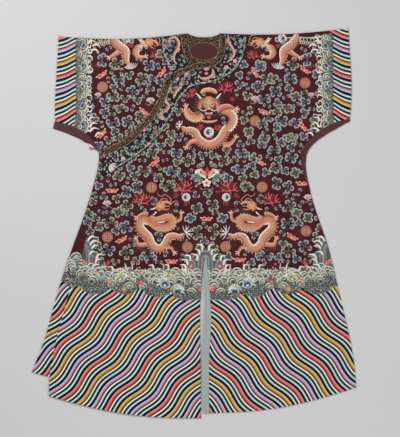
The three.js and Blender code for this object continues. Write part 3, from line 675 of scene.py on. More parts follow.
# %% Strips and collar
def strip_table(panel, first, widths, corners):
    """A strip's own table: the panel's outer edge, pushed outwards by the seam and then by its width."""
    places = np.linspace(first, first + len(widths) - 1, 4 * len(widths))
    edge = smooth_line(panel[:, 2:4], places, corners)
    along = np.gradient(edge, axis=0)
    out = np.column_stack([along[:, 1], -along[:, 0]]) / np.linalg.norm(along, axis=1, keepdims=True)
    out *= np.where((out * (edge - panel[int(first), :2])).sum(axis=1) >= 0, 1, -1)[:, None]
    wide = np.interp(places, np.arange(first, first + len(widths)), widths)[:, None]
    return np.column_stack([edge + out * SEAM, edge + out * (SEAM + wide), np.zeros(len(edge))])


def lie_on(under, lift):
    """A height function that lies a given distance above another."""
    return lambda x, y: under(x, y) + lift


def trim_table(table, first, last):
    """Two of a collar table's lines as a section table without a bow."""
    return np.hstack([table[:, first:last], np.zeros((len(table), 1))])


ON_FRONT, ON_INNER = lie_on(on_flap, SILK + TRIM_AIR), lie_on(on_back, SILK + TRIM_AIR)
LEFT_STRIP = strip_table(LEFT_FRONT, 7, [9, 25, 25, 23, 20, 18, 11, 1.5], [7])
RIGHT_STRIP = strip_table(RIGHT_FRONT, 6, [28, 33, 27, 3], [6])
BAND_TABLE, BINDING_TABLE = trim_table(COLLAR, 2, 6), trim_table(COLLAR, 0, 4)
UNDER_BAND_TABLE, UNDER_BINDING_TABLE = trim_table(UNDER_COLLAR, 2, 6), trim_table(UNDER_COLLAR, 0, 4)
# name, table, spacing, columns, underside, thickness, finish, slot, the solid it stands for
TRIMS = [
    ("left_strip_cloth", LEFT_STRIP, 6, 6, on_flap, SILK, PLAIN, "plain_silk", "left_underarm_strip"),
    ("right_strip_cloth", RIGHT_STRIP, 6, 6, on_back, SILK, PLAIN, "plain_silk", "right_underarm_strip"),
    ("collar_band_cloth", BAND_TABLE, 5, 12, ON_FRONT, BAND, BLACK, "black_band", "collar_band"),
    ("collar_binding_cloth", BINDING_TABLE, 4, 8, ON_FRONT, BINDING, BROCADE, "brocade", "collar_binding"),
    ("under_band_cloth", UNDER_BAND_TABLE, 5, 12, ON_INNER, BAND, BLACK, "black_band", "under_collar_band"),
    ("under_binding_cloth", UNDER_BINDING_TABLE, 4, 8, ON_INNER, BINDING, BROCADE, "brocade",
     "under_collar_binding"),
    ("slit_facing_cloth", SLIT_FACING, 6, 6, ON_FRONT, BAND, AQUA, "aqua_silk", "slit_facing"),
]
for name, table, spacing, columns, underside, thickness, finish, slot, solid in TRIMS:
    sheet(name, table, spacing, columns, underside, thickness, finish, slot=slot, replaces=[solid])


# %% Lining, neck facing, button and cord
NECK_MIDDLE = -60.0
LINING_LOW, LINING = 2.2, 0.8
FACING_LOW, FACING_HIGH = 3.15, 4.05
RIM = np.array([(57, -3.5), (56.2, -26), (53, -52), (43.6, -76.4), (25.3, -92.6), (0, -97.6), (-20, -99.4),
                (-34, -98.4), (-42.4, -76), (-50.8, -51), (-54.9, -26), (-57, -3.5), (-40, -6.4), (-20, -8),
                (0, -8.4), (20, -8), (40, -6.4), (57, -3.5)])
HOLE = (50.5, 31.0)  # half width and half height of the oval that the facing leaves open


def ring_shell(name, outer, inner, low, high, material, **facts):
    """A flat ring with rounded rims between two lines of as many points."""
    share = np.array([0, 0.01, 0.04, 0.3, 0.5, 0.7, 0.96, 0.99, 1.0])
    lens = (high - low) / 2 * np.array([0, 0.7, 1, 1, 1, 1, 1, 0.7, 0])
    rings = outer[None] + (inner - outer)[None] * share[:, None, None]
    top, bottom = (np.dstack([rings, np.broadcast_to(((low + high) / 2 + side * lens)[:, None],
                                                     rings.shape[:2])]) for side in (1, -1))
    loop = np.vstack([top, bottom[-2:0:-1]])
    index = np.arange(loop.shape[0] * loop.shape[1]).reshape(loop.shape[:2])
    return new_piece(name, loop.reshape(-1, 3), round_quads(np.vstack([index, index[:1]])), material, **facts)


def neckline(angle):
    """Points of the neckline at angles about its middle, from its distance there."""
    line = smooth_line(RIM, np.linspace(0, len(RIM) - 1, 400), corners=(11,)) - [0, NECK_MIDDLE]
    far = np.array(sorted(zip(np.arctan2(line[:, 1], line[:, 0]) % (2 * np.pi), np.hypot(*line.T))))
    reach = np.interp(angle, *far.T, period=2 * np.pi)
    return np.column_stack([reach * np.cos(angle), reach * np.sin(angle) + NECK_MIDDLE])


drop = np.linspace(-41.5, 41.5, 13)
span = 56 * np.sqrt(1 - (drop / 44) ** 2)
sheet("neck_lining_cloth", np.column_stack([-span, -58 - drop, span, -58 - drop, 0 * drop]), 5, 14,
      lambda x, y: np.full(np.shape(x), LINING_LOW), LINING, PLUM, slot="lining", replaces=["neck_lining"])
angle = turns(96)
ring_shell("neck_facing_cloth", neckline(angle), oval(0, NECK_MIDDLE, *HOLE, angle), FACING_LOW, FACING_HIGH,
           BROCADE, slot="brocade", replaces=["neck_facing"])


def tube(name, path, radius, material, sides=10, closed=False, upright=(0, 0, 1), **facts):
    """A round tube along points, with rings square to the path and a domed cap at each open end."""
    path = np.asarray(path, float)
    if closed:
        tangent = np.roll(path, -1, 0) - np.roll(path, 1, 0)
    else:
        tangent = np.gradient(path, axis=0)
    tangent /= np.linalg.norm(tangent, axis=1, keepdims=True)
    side = np.cross(tangent, upright)
    side /= np.linalg.norm(side, axis=1, keepdims=True)
    lift = np.cross(side, tangent)
    radius = np.broadcast_to(radius, len(path)).astype(float)
    if not closed:
        cap = radius[0] * np.array([1.0, 0.7])
        path = np.vstack([path[0] - tangent[0] * cap[0], path[0] - tangent[0] * cap[1], path,
                          path[-1] + tangent[-1] * cap[1], path[-1] + tangent[-1] * cap[0]])
        side = np.vstack([side[:1], side[:1], side, side[-1:], side[-1:]])
        lift = np.vstack([lift[:1], lift[:1], lift, lift[-1:], lift[-1:]])
        radius = np.r_[radius[0] * 0.05, radius[0] * 0.7, radius, radius[-1] * 0.7, radius[-1] * 0.05]
    turn = turns(sides)
    rings = side[:, None] * np.cos(turn)[:, None] + lift[:, None] * np.sin(turn)[:, None]
    rings = path[:, None] + radius[:, None, None] * rings
    index = np.arange(len(path) * sides).reshape(len(path), sides)
    if closed:
        faces = round_quads(np.vstack([index, index[:1]]))
    else:
        faces = [*round_quads(index), index[0][::-1], index[-1]]
    return new_piece(name, rings.reshape(-1, 3), faces, material, **facts)


# The ball and the ring that holds it, in robe millimetres: a turned ball, and a ring that stands on edge.
BALL, BALL_RADIUS = np.array([-413, -414, 4.6]), 4.55
RING, RING_RADIUS = np.array([-406.1, -414, 4.7]), 2.6
rise = np.linspace(-np.pi / 2, np.pi / 2, 19)[1:-1, None]
tube("knob_ball", BALL + BALL_RADIUS * np.sin(rise) * [1, 0, 0], BALL_RADIUS * np.cos(rise[:, 0]), BRASS,
     sides=28, slot="brass", replaces=["toggle_knob"])
angle = turns(40)[:, None]
tube("knob_ring", RING + RING_RADIUS * (np.cos(angle) * [1, 0, 0] + np.sin(angle) * [0, 0, 1]), 0.65, BRASS,
     closed=True, upright=(0, 1, 0), slot="brass", replaces=["toggle_knob"])
STRAP = np.array([(-403.6, -414, 4.7), (-397, -415, 5.6), (-389, -416.5, 6.6), (-380, -419, 7.3),
                  (-371.1, -422, 7.55)])
STRAND, APART = 2.4, 3.4  # thickness of one strand, and the distance between the two
line = smooth_line(STRAP, np.linspace(0, len(STRAP) - 1, 33))
sway = np.gradient(line[:, :2], axis=0)
sway = np.column_stack([-sway[:, 1], sway[:, 0], 0 * sway[:, 0]])
sway /= np.linalg.norm(sway, axis=1, keepdims=True)
for k, side in enumerate((-1, 1)):
    strand = line + side * APART / 2 * sway
    piece = tube(f"loop_strand_{k + 1}", strand, STRAND / 2, BRAID, slot="cord", replaces=["toggle_cord"])

# %% [markdown]
# ## How a stitched shape is made
# The pictures are charted on a grid of squares, 3.65 mm each, counted right and down from a corner above the
# sleeve. Three shapes are enough: a flat field between two lines, a ribbon that follows a path, and a disc
# whose rings may draw together off its middle, which makes it a fan. Each is padded into a low dome, dyed
# from a palette and given thread coordinates in millimetres, so the floss finish knows which way the stitches
# run.

# %% Ribbons and discs
SQUARE = 3.65
AXIS, HEM_AXIS = 204.5, 206.2  # the chart's uprights that the robe and its hem mirror about
rng = np.random.default_rng(11)


def chart(points):
    """Chart squares (right, down) to robe millimetres: x = 3.65 (right - 204), y = 3.65 (35 - down)."""
    points = np.asarray(points, float)
    return np.stack([(points[..., 0] - 204) * SQUARE, (35 - points[..., 1]) * SQUARE], axis=-1)


def spread(palette, share):
    """Colours of a palette at shares from 0 to 1."""
    palette = np.asarray(palette, float)
    places = np.linspace(0, 1, len(palette))
    return np.stack([np.interp(share, places, palette[:, k]) for k in range(3)], axis=-1)


class Needlework:
    """Gathers padded shapes in chart squares, then makes them one piece of embroidery."""

    def __init__(self):
        self.patches, self.seat = [], (0.0, 0.0, 0.0, 1.0)

    def draw_at(self, drawing, x, y, angle=0.0, size=1.0):
        """Draws in squares of its own about (x, y), turned by angle and sized."""
        self.seat = (x, y, angle, size)
        drawing(self)
        self.seat = (0.0, 0.0, 0.0, 1.0)

    def seated(self, xy):
        """Turns local squares by seat's angle, sizes them by its scale and moves them to its point."""
        x, y, angle, size = self.seat
        c, s = size * np.cos(angle), size * np.sin(angle)
        return np.stack([xy[..., 0] * c - xy[..., 1] * s + x, xy[..., 0] * s + xy[..., 1] * c + y], axis=-1)

    def field(self, top, bottom, palette):
        """A flat patch between two lines of (right, down); the palette runs from top to bottom."""
        top, bottom = np.asarray(top, float), np.asarray(bottom, float)
        right = np.arange(top[0, 0], top[-1, 0] + 0.01, 1.4)[:, None]
        share = np.linspace(0, 1, 12)[None]
        down = np.interp(right, *top.T) * (1 - share) + np.interp(right, *bottom.T) * share
        xy = np.dstack([right + 0 * share, down])
        dome = 0.25 * np.sin(np.pi * share) ** 0.3 + 0 * right - 0.05
        self.patches.append((self.seated(xy), dome, spread(palette, share + 0 * right),
                             (xy[..., 0] - right.min()) * SQUARE, (xy[..., 1] - xy[..., 1].min()) * SQUARE))

    def ribbon(self, path, width, palette, high=0.6, lift=0.0, along=False, step=0.7, across=7):
        """A band along a path. The widths are spread over it; the palette runs across, or along if asked."""
        path = np.asarray(path, float)
        length = np.linalg.norm(np.diff(path, axis=0), axis=1).sum()
        count = int(np.clip(length / step, 6, 160))
        line = smooth_line(path, np.linspace(0, len(path) - 1, count))
        heading = np.gradient(line, axis=0)
        heading /= np.maximum(np.linalg.norm(heading, axis=1, keepdims=True), 1e-9)
        t, u = np.linspace(0, 1, count)[:, None], np.linspace(-1, 1, across)[None]
        half = np.interp(t, np.linspace(0, 1, np.size(width)), np.atleast_1d(width)) / 2
        blunt = np.clip(half.mean() / length, 0.02, 0.5)
        end = np.sqrt(1 - np.clip((np.abs(2 * t - 1) - 1 + 2 * blunt) / (2 * blunt), 0, 0.995) ** 2)
        side = np.column_stack([-heading[:, 1], heading[:, 0]])
        xy = line[:, None] + side[:, None] * (half * end * u)[..., None]
        dome = high * np.sqrt(1 - u**2) * end - 0.05 + lift
        share = np.broadcast_to(t if along else (u + 1) / 2, dome.shape)
        self.patches.append((self.seated(xy), dome, spread(palette, share), t * length * SQUARE + 0 * u,
                             half * (u + 1) * SQUARE))

    def disc(self, x, y, size, palette, core=(0.0, 0.0), turn=0.0, high=0.5, lift=0.0, spokes=12, rings=4):
        """Rings about a centre that draw together at core; the palette runs from the core to the rim."""
        wide, tall = np.broadcast_to(size, 2)
        r, a = np.linspace(0.03, 1, rings)[:, None], np.linspace(0, 2 * np.pi, spokes + 1)[None]
        right = wide * (r * np.cos(a) + core[0] * (1 - r))
        down = tall * (r * np.sin(a) + core[1] * (1 - r))
        xy = np.dstack([x + right * np.cos(turn) - down * np.sin(turn),
                        y + right * np.sin(turn) + down * np.cos(turn)])
        dome = high * np.sqrt(1 - r**2) + 0 * a - 0.05 + lift
        colour = spread(palette, np.broadcast_to(r, dome.shape))
        self.patches.append((self.seated(xy), dome, colour, a * wide * SQUARE + 0 * r,
                             r * wide * SQUARE + 0 * a))

    def mirror(self, axis=AXIS):
        """Adds the mirror image of everything so far about an upright line of the chart."""
        for xy, dome, colour, run, cross in list(self.patches):
            self.patches.append((xy * [-1, 1] + [2 * axis, 0], dome, colour, run, cross))

    def make(self, name, layers, material, below=None):
        """Lays every shape on the layer its middle is on, drops what falls off it, and makes one piece.

        layers are (outlines, height of the cloth's face, outlines that hide it). With below set, the shapes
        hang under that height instead.
        """
        points, faces, colours, threads, packed, start = [], [], [], [], [], 0
        rooms = [(run.max() + 0.8, cross.max() + 0.8) for _, _, _, run, cross in self.patches]
        places = pack(rooms)
        for (xy, dome, colour, run, cross), room, place in zip(self.patches, rooms, places):
            spot = chart(xy)
            middle = spot.reshape(-1, 2).mean(axis=0)[None]
            held = (one for one in layers if any(inside(middle, line)[0] for line in one[0]))
            layer = next(held, layers[-1])
            rows, columns = dome.shape
            z = layer[1](spot[..., 0], spot[..., 1]) + dome if below is None else below - dome * 0.2
            grid = np.arange(rows * columns).reshape(rows, columns)
            squares = quads(grid)
            flat = spot.reshape(-1, 2)
            centre = flat[squares].mean(axis=1)
            keep = np.any([inside(centre, line) for line in layer[0]], axis=0)
            for cover in layer[2]:
                keep &= ~inside(centre, cover)
            a, b, c = (flat[squares[:, k]] for k in (0, 1, 2))
            turn = np.median((b - a)[:, 0] * (c - b)[:, 1] - (b - a)[:, 1] * (c - b)[:, 0])
            if (turn < 0) == (below is None):
                squares = squares[:, ::-1]
            points.append(np.column_stack([flat, z.ravel()]))
            faces.append(squares[keep] + start)
            colours.append(colour.reshape(-1, 3))
            threads.append(np.column_stack([run.ravel(), cross.ravel()]))
            share = np.dstack(np.meshgrid(np.linspace(0, 1, columns), np.linspace(0, 1, rows)))
            if rows > columns:
                share = share[..., ::-1]
            packed.append((np.array(place) + 0.4 + share * (np.array(room) - 0.8)).reshape(-1, 2))
            start += rows * columns
        faces = np.vstack(faces)
        used = np.zeros(start, bool)
        used[faces] = True
        faces = (np.cumsum(used) - 1)[faces]
        points, colours, threads, packed = (np.vstack(v)[used] for v in (points, colours, threads, packed))
        piece = new_piece(name, points, faces, material)
        lay_out(piece, packed[faces.ravel()])
        write_map(piece, "thread", threads[faces.ravel()])
        write(piece, "dye", colours, "FLOAT_COLOR")
        print(f"{name}: {len(self.patches)} shapes, {2 * len(faces)} triangles")


def pack(rooms):
    """Puts rectangles on shelves, tallest first, in a square that holds them all."""
    order = sorted(range(len(rooms)), key=lambda k: -rooms[k][1])
    wide = max(max(r[0] for r in rooms), 1.05 * sum(r[0] * r[1] for r in rooms) ** 0.5)
    places, x, y, shelf = [None] * len(rooms), 0.0, 0.0, 0.0
    for k in order:
        if x + rooms[k][0] > wide:
            x, y, shelf = 0.0, y + shelf, 0.0
        places[k] = (x, y)
        x, shelf = x + rooms[k][0], max(shelf, rooms[k][1])
    return places


def inside(points, outline):
    """Whether each point is in a closed outline, by counting the edges to its right."""
    x, y = points[:, 0][:, None], points[:, 1][:, None]
    a, b = outline, np.roll(outline, -1, axis=0)
    crosses = (a[:, 1] > y) != (b[:, 1] > y)
    fall = np.where(b[:, 1] == a[:, 1], 1e-9, b[:, 1] - a[:, 1])
    edge = a[:, 0] + (y - a[:, 1]) * (b[:, 0] - a[:, 0]) / fall
    return (crosses & (x < edge)).sum(axis=1) % 2 == 1


def outline_of(table, inner=(), outer=(), sides=(0, 2)):
    """A panel's closed outline: down its inner edge, along the last row, up the outer edge and back."""
    places = np.linspace(0, len(table) - 1, 6 * len(table))
    near = smooth_line(table[:, sides[0]:sides[0] + 2], places, inner)
    far = smooth_line(table[:, sides[1]:sides[1] + 2], places, outer)
    u = np.linspace(0, 1, 14)[1:-1, None]
    sag = table[:, -1] if table.shape[1] == 5 else np.zeros(len(table))
    foot = near[-1] + (far[-1] - near[-1]) * u - np.column_stack([0 * u, sag[-1] * np.sin(np.pi * u)])
    top = far[0] + (near[0] - far[0]) * u - np.column_stack([0 * u, sag[0] * np.sin(np.pi * u)])
    return np.vstack([near, foot, far[::-1], top])


def floss_finish(name, scales=False):
    """Dyed floss: fine threads along the shape, or overlapping scales of couched thread."""
    n = Nodes(name, roughness=0.42, sheen=0.04, tint=(1, 0.95, 0.9), specular=0.26)
    run, cross = (n.add("SeparateXYZ", {}, {0: n.add("UVMap", {"uv_map": "thread"})}, out=k) for k in (0, 1))
    threads = n.add("TexNoise", {}, {"Vector": n.add("CombineXYZ", {}, {0: run * 1.8, 1: cross * 0.3}),
                                     "Scale": 1.0, "Detail": 2.0})
    shade = 0.72 + threads * 0.5
    height = threads
    if scales:
        row = cross / 6.4
        part = row % 1.0
        wave = (run / 9.6 + ((row - part) % 2.0) * 0.5) % 1.0 - 0.5
        scale = n.add("ValToRGB", {"stops": [(0.0, 1.0), (0.6, 0.84), (0.88, 0.0), (1.0, 0.7)]},
                      {0: wave * wave * 2.6 + part * 0.75})
        shade = shade * (0.42 + scale * 0.7)
        height = scale + threads * 0.3
    dyed = n.add("VectorMath", {"operation": "SCALE"}, {0: n.attribute("dye", "Color"), 3: shade})
    n.shine(Base_Color=dyed, Roughness=0.32 + threads * 0.2, Normal=n.raise_by(height, 0.0004, 0.8))
    return n.material


FLOSS, SCALES = floss_finish("silk floss"), floss_finish("couched gold thread", scales=True)
LEFT_OUTLINE = outline_of(LEFT_FRONT, [5, 17], [7])
RIGHT_OUTLINE = outline_of(RIGHT_FRONT, (), [6])
OVERLAP_OUTLINE = outline_of(OVERLAP, [13], [9])
COLLAR_OUTLINE = outline_of(COLLAR, sides=(0, 4))
UNDER_OUTLINE = outline_of(UNDER_COLLAR, sides=(0, 4))
FACE, INNER_FACE = lie_on(on_flap, SILK), lie_on(on_back, SILK)
NECK_OUTLINE = oval(0, -44, 98, 88, np.linspace(0, 2 * np.pi, 40))
FRONT = [([OVERLAP_OUTLINE, LEFT_OUTLINE], FACE, [COLLAR_OUTLINE]),
         ([RIGHT_OUTLINE], INNER_FACE, [COLLAR_OUTLINE, UNDER_OUTLINE, OVERLAP_OUTLINE, NECK_OUTLINE])]
print("chart squares are", SQUARE, "mm; front layers:", len(FRONT))

# %% [markdown]
# ## Palettes
# Each palette runs from a shape's core to its rim, or across a band. The greens and blues are dull with age,
# and a pale line runs just inside each dark rim, which makes the clouds legible from across a room.

# %% Palettes
BLUE = dyes((10, 26, 46), (38, 70, 92), (78, 108, 124), (114, 136, 142), (194, 192, 180), (64, 50, 54))
GREEN = dyes((16, 40, 30), (62, 92, 70), (92, 118, 90), (122, 138, 108), (194, 190, 172), (60, 48, 48))
TEAL = dyes((8, 40, 46), (28, 92, 96), (66, 120, 120), (104, 138, 132), (194, 192, 178), (60, 48, 50))
GREY = dyes((30, 26, 40), (74, 64, 84), (104, 96, 110), (126, 118, 126), (182, 174, 168), (58, 46, 50))
FAMILIES = {"b": BLUE, "g": GREEN, "t": TEAL, "s": GREY}
ROSE = dyes((150, 52, 56), (214, 112, 104), (232, 160, 140))
RED = dyes((112, 16, 34), (196, 62, 70), (206, 92, 90))
CREAM = dyes((140, 140, 120), (232, 228, 208), (246, 244, 232))
WHITE = dyes((214, 210, 200), (244, 238, 228))
BODY = dyes((244, 226, 204), (244, 226, 204), (214, 164, 132), (206, 152, 120), (204, 150, 116),
            (202, 146, 112), (200, 142, 108), (192, 126, 98), (178, 100, 80), (150, 66, 56))
LIMB = dyes((170, 84, 70), (206, 144, 114), (226, 180, 150))
DARK = dyes((26, 24, 30), (58, 62, 60))
print("cloud families:", list(FAMILIES))

# %% [markdown]
# ## Dragons
# One dragon faces out from the chest, two face each other on the hem, and two run over the shoulders. A
# dragon is one long ribbon or two with fins along its spine, legs that end in open claws, and a head built of
# a few discs and ribbons. The hem's dragons are one drawing and its mirror image, and so are the shoulders'.

# %% Dragon parts
def claws(work, x, y, aim, reach=3.6, count=5, spreading=2.3, palette=None):
    """Open claws: tapered ribbons that fan out about a direction (radians, from right towards down)."""
    palette = palette or dyes((228, 160, 124), (246, 214, 190))
    for k, a in enumerate(np.linspace(-spreading / 2, spreading / 2, count) + aim):
        step = np.array([np.cos(a), np.sin(a)])
        side = np.array([-step[1], step[0]]) * (0.5 if k % 2 else -0.35)
        root = np.array([x, y])
        work.ribbon([root, root + step * reach * 0.55 + side, root + step * reach], [1.0, 0.8, 0.3], palette,
                    high=0.5, lift=0.25, along=True)


def leg(work, path, aim, width=(4.2, 3.2, 2.3), palette=None):
    """A leg with a hairy elbow and open claws at its end."""
    work.ribbon(path, width, palette or LIMB, high=0.7, lift=0.12)
    work.disc(*path[-1], (1.7, 1.5), dyes((236, 190, 156), (222, 150, 116)), high=0.6, lift=0.2)
    claws(work, *path[-1], aim)
    elbow = np.array(path[len(path) // 2], float)
    for a in (0.5, 1.0, 1.5):
        work.ribbon([elbow, elbow + [-2.2 * np.cos(a + aim), 2.2 * np.sin(a)]], [0.6, 0.2],
                    dyes((178, 70, 56)) * 2, high=0.3, lift=0.5)


def pearl(work, x, y, r):
    """A flaming pearl's disc: a white ring about a clouded blue core with a hooked highlight."""
    work.disc(x, y, r, dyes((240, 230, 224), (246, 238, 230), (206, 176, 172)), high=0.6, spokes=20)
    work.disc(x, y, r * 0.68, dyes((20, 30, 44), (60, 84, 104), (142, 168, 176)), core=(-0.3, 0.0), high=0.5,
              lift=0.3, spokes=16)
    work.ribbon([(x - 0.1 * r, y - 0.25 * r), (x + 0.3 * r, y - 0.1 * r), (x + 0.25 * r, y + 0.3 * r),
                 (x - 0.1 * r, y + 0.3 * r)], [0.25 * r, 0.1 * r], WHITE, high=0.3, lift=0.7)


def flame(work, x, y, reach=6.0, turn=0.0, halo=True):
    """A branching flame: a bent stem with prongs, on a dark red ground if it has a halo."""
    c, s = np.cos(turn), np.sin(turn)

    def put(*points):
        p = np.asarray(points, float) * reach / 6
        return np.column_stack([x + p[:, 0] * c - p[:, 1] * s, y + p[:, 0] * s + p[:, 1] * c])

    if halo:
        work.disc(x, y - 0.1 * reach, (0.95 * reach, 0.72 * reach),
                  dyes((134, 18, 40), (116, 18, 36), (84, 26, 34)), high=0.1, turn=turn)
    wide, glow = [0.12 * reach, 0.05 * reach], dyes((206, 82, 86), (222, 116, 110))
    for path in (((-1, 4.6), (-0.2, 2.4), (-3, 2.0), (-5.4, 0.2)), ((-3, 2.0), (-3.2, -0.6), (-5.2, -2.4)),
                 ((-0.2, 2.4), (0.4, -0.6), (-1.4, -3.4)), ((0.4, -0.6), (2.6, -1.4), (2.2, -4.2)),
                 ((-0.2, 2.4), (3.2, 1.6), (5.4, -1.0)), ((3.2, 1.6), (5.0, 2.6)),
                 ((0.4, -0.6), (0.8, -3.0), (0.2, -5.0)), ((-3.0, 2.0), (-4.6, 2.8), (-6.0, 2.2)),
                 ((2.6, -1.4), (4.2, -2.4), (4.4, -4.0))):
        work.ribbon(put(*path), wide, glow, high=0.45, lift=0.2, along=True, step=0.5)


def spines(work, path, width, side=1, every=2.1):
    """Short fins along one edge of a body."""
    places = np.linspace(0, len(path) - 1, 400)
    line = smooth_line(np.asarray(path, float), places)
    far = np.r_[0, np.cumsum(np.linalg.norm(np.diff(line, axis=0), axis=1))]
    heading = np.gradient(line, axis=0)
    heading /= np.linalg.norm(heading, axis=1, keepdims=True)
    for stop in np.arange(every, far[-1] - every, every):
        k = np.searchsorted(far, stop)
        half = np.interp(k / 400, np.linspace(0, 1, np.size(width)), width) / 2
        out = side * np.array([-heading[k, 1], heading[k, 0]])
        root = line[k] + out * (half - 0.4)
        work.ribbon([root, root + out * 1.0 - heading[k] * 0.5, root + out * 1.7 - heading[k] * 1.3],
                    [1.2, 0.3], dyes((206, 132, 96), (240, 206, 170)), high=0.4, lift=-0.02, along=True)


def profile_head(work):
    """A head about (0, 0) that looks right: mane, brow, open jaws, teeth, eye, horns, whiskers and beard."""
    for dx, dy, r in ((-3.6, -1.6, 2), (-4.2, 1.4, 2.2), (-2, 3.4, 2), (-1.8, -3.4, 1.9), (0.8, -4, 1.6)):
        work.disc(dx, dy, r, dyes((226, 166, 96), (204, 134, 84), (160, 80, 58)), high=0.6, lift=0.45)
    work.disc(0, 0, (4.2, 3.8), dyes((232, 182, 122), (220, 160, 108), (196, 124, 86)), core=(-0.2, -0.1),
              high=0.9, lift=0.55, spokes=18)
    work.ribbon([(0.8, -2), (4.8, -3.8), (8.4, -2.6), (9.8, -1)], [3.4, 3, 2.2, 1.0],
                dyes((232, 184, 146), (190, 70, 62)), high=0.7, lift=0.6)
    work.ribbon([(1.4, 2.4), (4.8, 3.4), (8.4, 2.6)], [2.2, 1.6, 0.8], dyes((170, 36, 42), (224, 160, 132)),
                high=0.6, lift=0.6)
    for k in range(5):
        work.ribbon([(4 + k, -0.4), (4.2 + k, 0.8)], [0.5, 0.25], WHITE, high=0.3, lift=1.0, along=True)
    work.disc(2.2, -2.2, 0.9, dyes((12, 12, 14), (30, 30, 36), (236, 226, 206)), high=0.5, lift=1.2,
              spokes=10)
    for path in ([(-4.6, 5.6), (-6.6, 7.8), (-8.8, 9.6)], [(-5.6, 1.8), (-8.4, 3), (-11.4, 3.4)]):
        work.ribbon(path, [1.9, 0.5], WHITE, high=0.5, lift=0.9, along=True)
    for path in ([(8.4, -3), (10, -6.4), (6.8, -9.6), (3.8, -11.4), (0.2, -9.6), (-2.8, -11), (-3.8, -13.6)],
                 [(9.4, -1.6), (12.2, -4.2), (15.6, -4.8), (17.2, -3)],
                 [(-1.2, -5), (1.8, -7.4), (5.2, -6.8), (7.2, -4.6)]):
        work.ribbon(path, [0.8, 0.45], dyes((224, 172, 148), (196, 122, 108)), high=0.4, lift=0.7)
    for k in range(7):
        x = -1.2 + 2.1 * k
        work.ribbon([(x, 3.6), (x + 0.9, 5.6 + 0.3 * (k % 3)), (x + 0.3, 7.4)], [0.8, 0.2],
                    dyes((60, 74, 66), (24, 30, 30)), high=0.3, lift=0.3, along=True)


def profile_dragon(work):
    """The hem's left dragon: a flat coil under the head, then an S down to the pale fan of the tail."""
    tail = [(151, 223), (144.5, 219.8), (140.4, 222.2), (139.8, 227.4), (143.8, 232.4), (148.6, 237.2),
            (151, 243.4), (156.2, 248), (161.8, 247.8), (165.6, 242.8), (168.4, 237.2), (173.6, 235.6),
            (179.6, 236.6), (184.6, 233.8)]
    tail_wide = [8.6, 9, 9.2, 9, 8.6, 7.4, 6, 3.6]
    work.ribbon(tail, tail_wide, BODY, high=0.8, across=13)
    spines(work, tail, tail_wide, side=1)
    claws(work, 185.6, 233.0, -0.5, reach=8.0, count=8, spreading=2.9,
          palette=dyes((206, 196, 196), (244, 240, 232)))
    leg(work, [(148.5, 213.6), (142.4, 214.2), (137, 217.4)], 2.7)
    leg(work, [(172.6, 221), (179.6, 219.8), (181.4, 213.4)], -1.4)
    leg(work, [(147.5, 244.4), (138.4, 244.6), (136.2, 238.6)], -1.9, width=(5, 4.4, 2.4))
    leg(work, [(163.4, 247.6), (171, 247.6), (174.2, 252.4)], 0.9)
    coil = [(150, 216), (154.4, 219.6), (160.4, 219.4), (166.4, 217.6), (171.4, 219), (172.2, 223),
            (168.4, 226.4), (162, 227.4), (156, 226), (151, 222.6), (145.4, 218.6)]
    work.ribbon(coil, [4.4, 6, 7.4, 8, 8.2, 8.2, 8, 7, 5], [BODY[2], *BODY[3:8], dye(206, 106, 90), BODY[9]],
                high=0.8, lift=0.3, across=13)
    spines(work, coil[3:9], [8, 8.2, 8.2, 8], side=-1)
    work.ribbon([(157, 222.6), (161.6, 222.2), (165.6, 221.6)], [0.5, 1.1, 0.8], WHITE, high=0.3, lift=1.0)
    work.ribbon([(146.4, 219.2), (151.6, 222.2), (156.4, 225.6), (160.6, 224.2)], [1.6, 3.2, 2.4, 0.8],
                dyes((226, 128, 112), (196, 66, 66)), high=0.4, lift=0.85)
    work.draw_at(profile_head, 161.2, 206)
    for k in range(8):
        x = 134.5 + 2.0 * k
        work.ribbon([(x + 2, 246.6 + 0.5 * k), (x + 2.6, 249 + 0.4 * k), (x + 4.2, 251 + 0.3 * k)],
                    [0.6, 0.2], dyes((120, 126, 96), (60, 64, 54)), high=0.3, along=True)
    pearl(work, 186.2, 197.2, 4.4)
    flame(work, 175.8, 195.4, 3.6, -0.4, halo=False)
    flame(work, 183.5, 187.2, 10.0, 0.1)
    flame(work, 141.6, 199.6, 9.4, 0.2)
    flame(work, 194.4, 191.6, 2.8, 0.5, halo=False)
    flame(work, 186.8, 203.6, 3.4, 3.2, halo=False)


MID = 208.8  # the chart's upright through the facing head


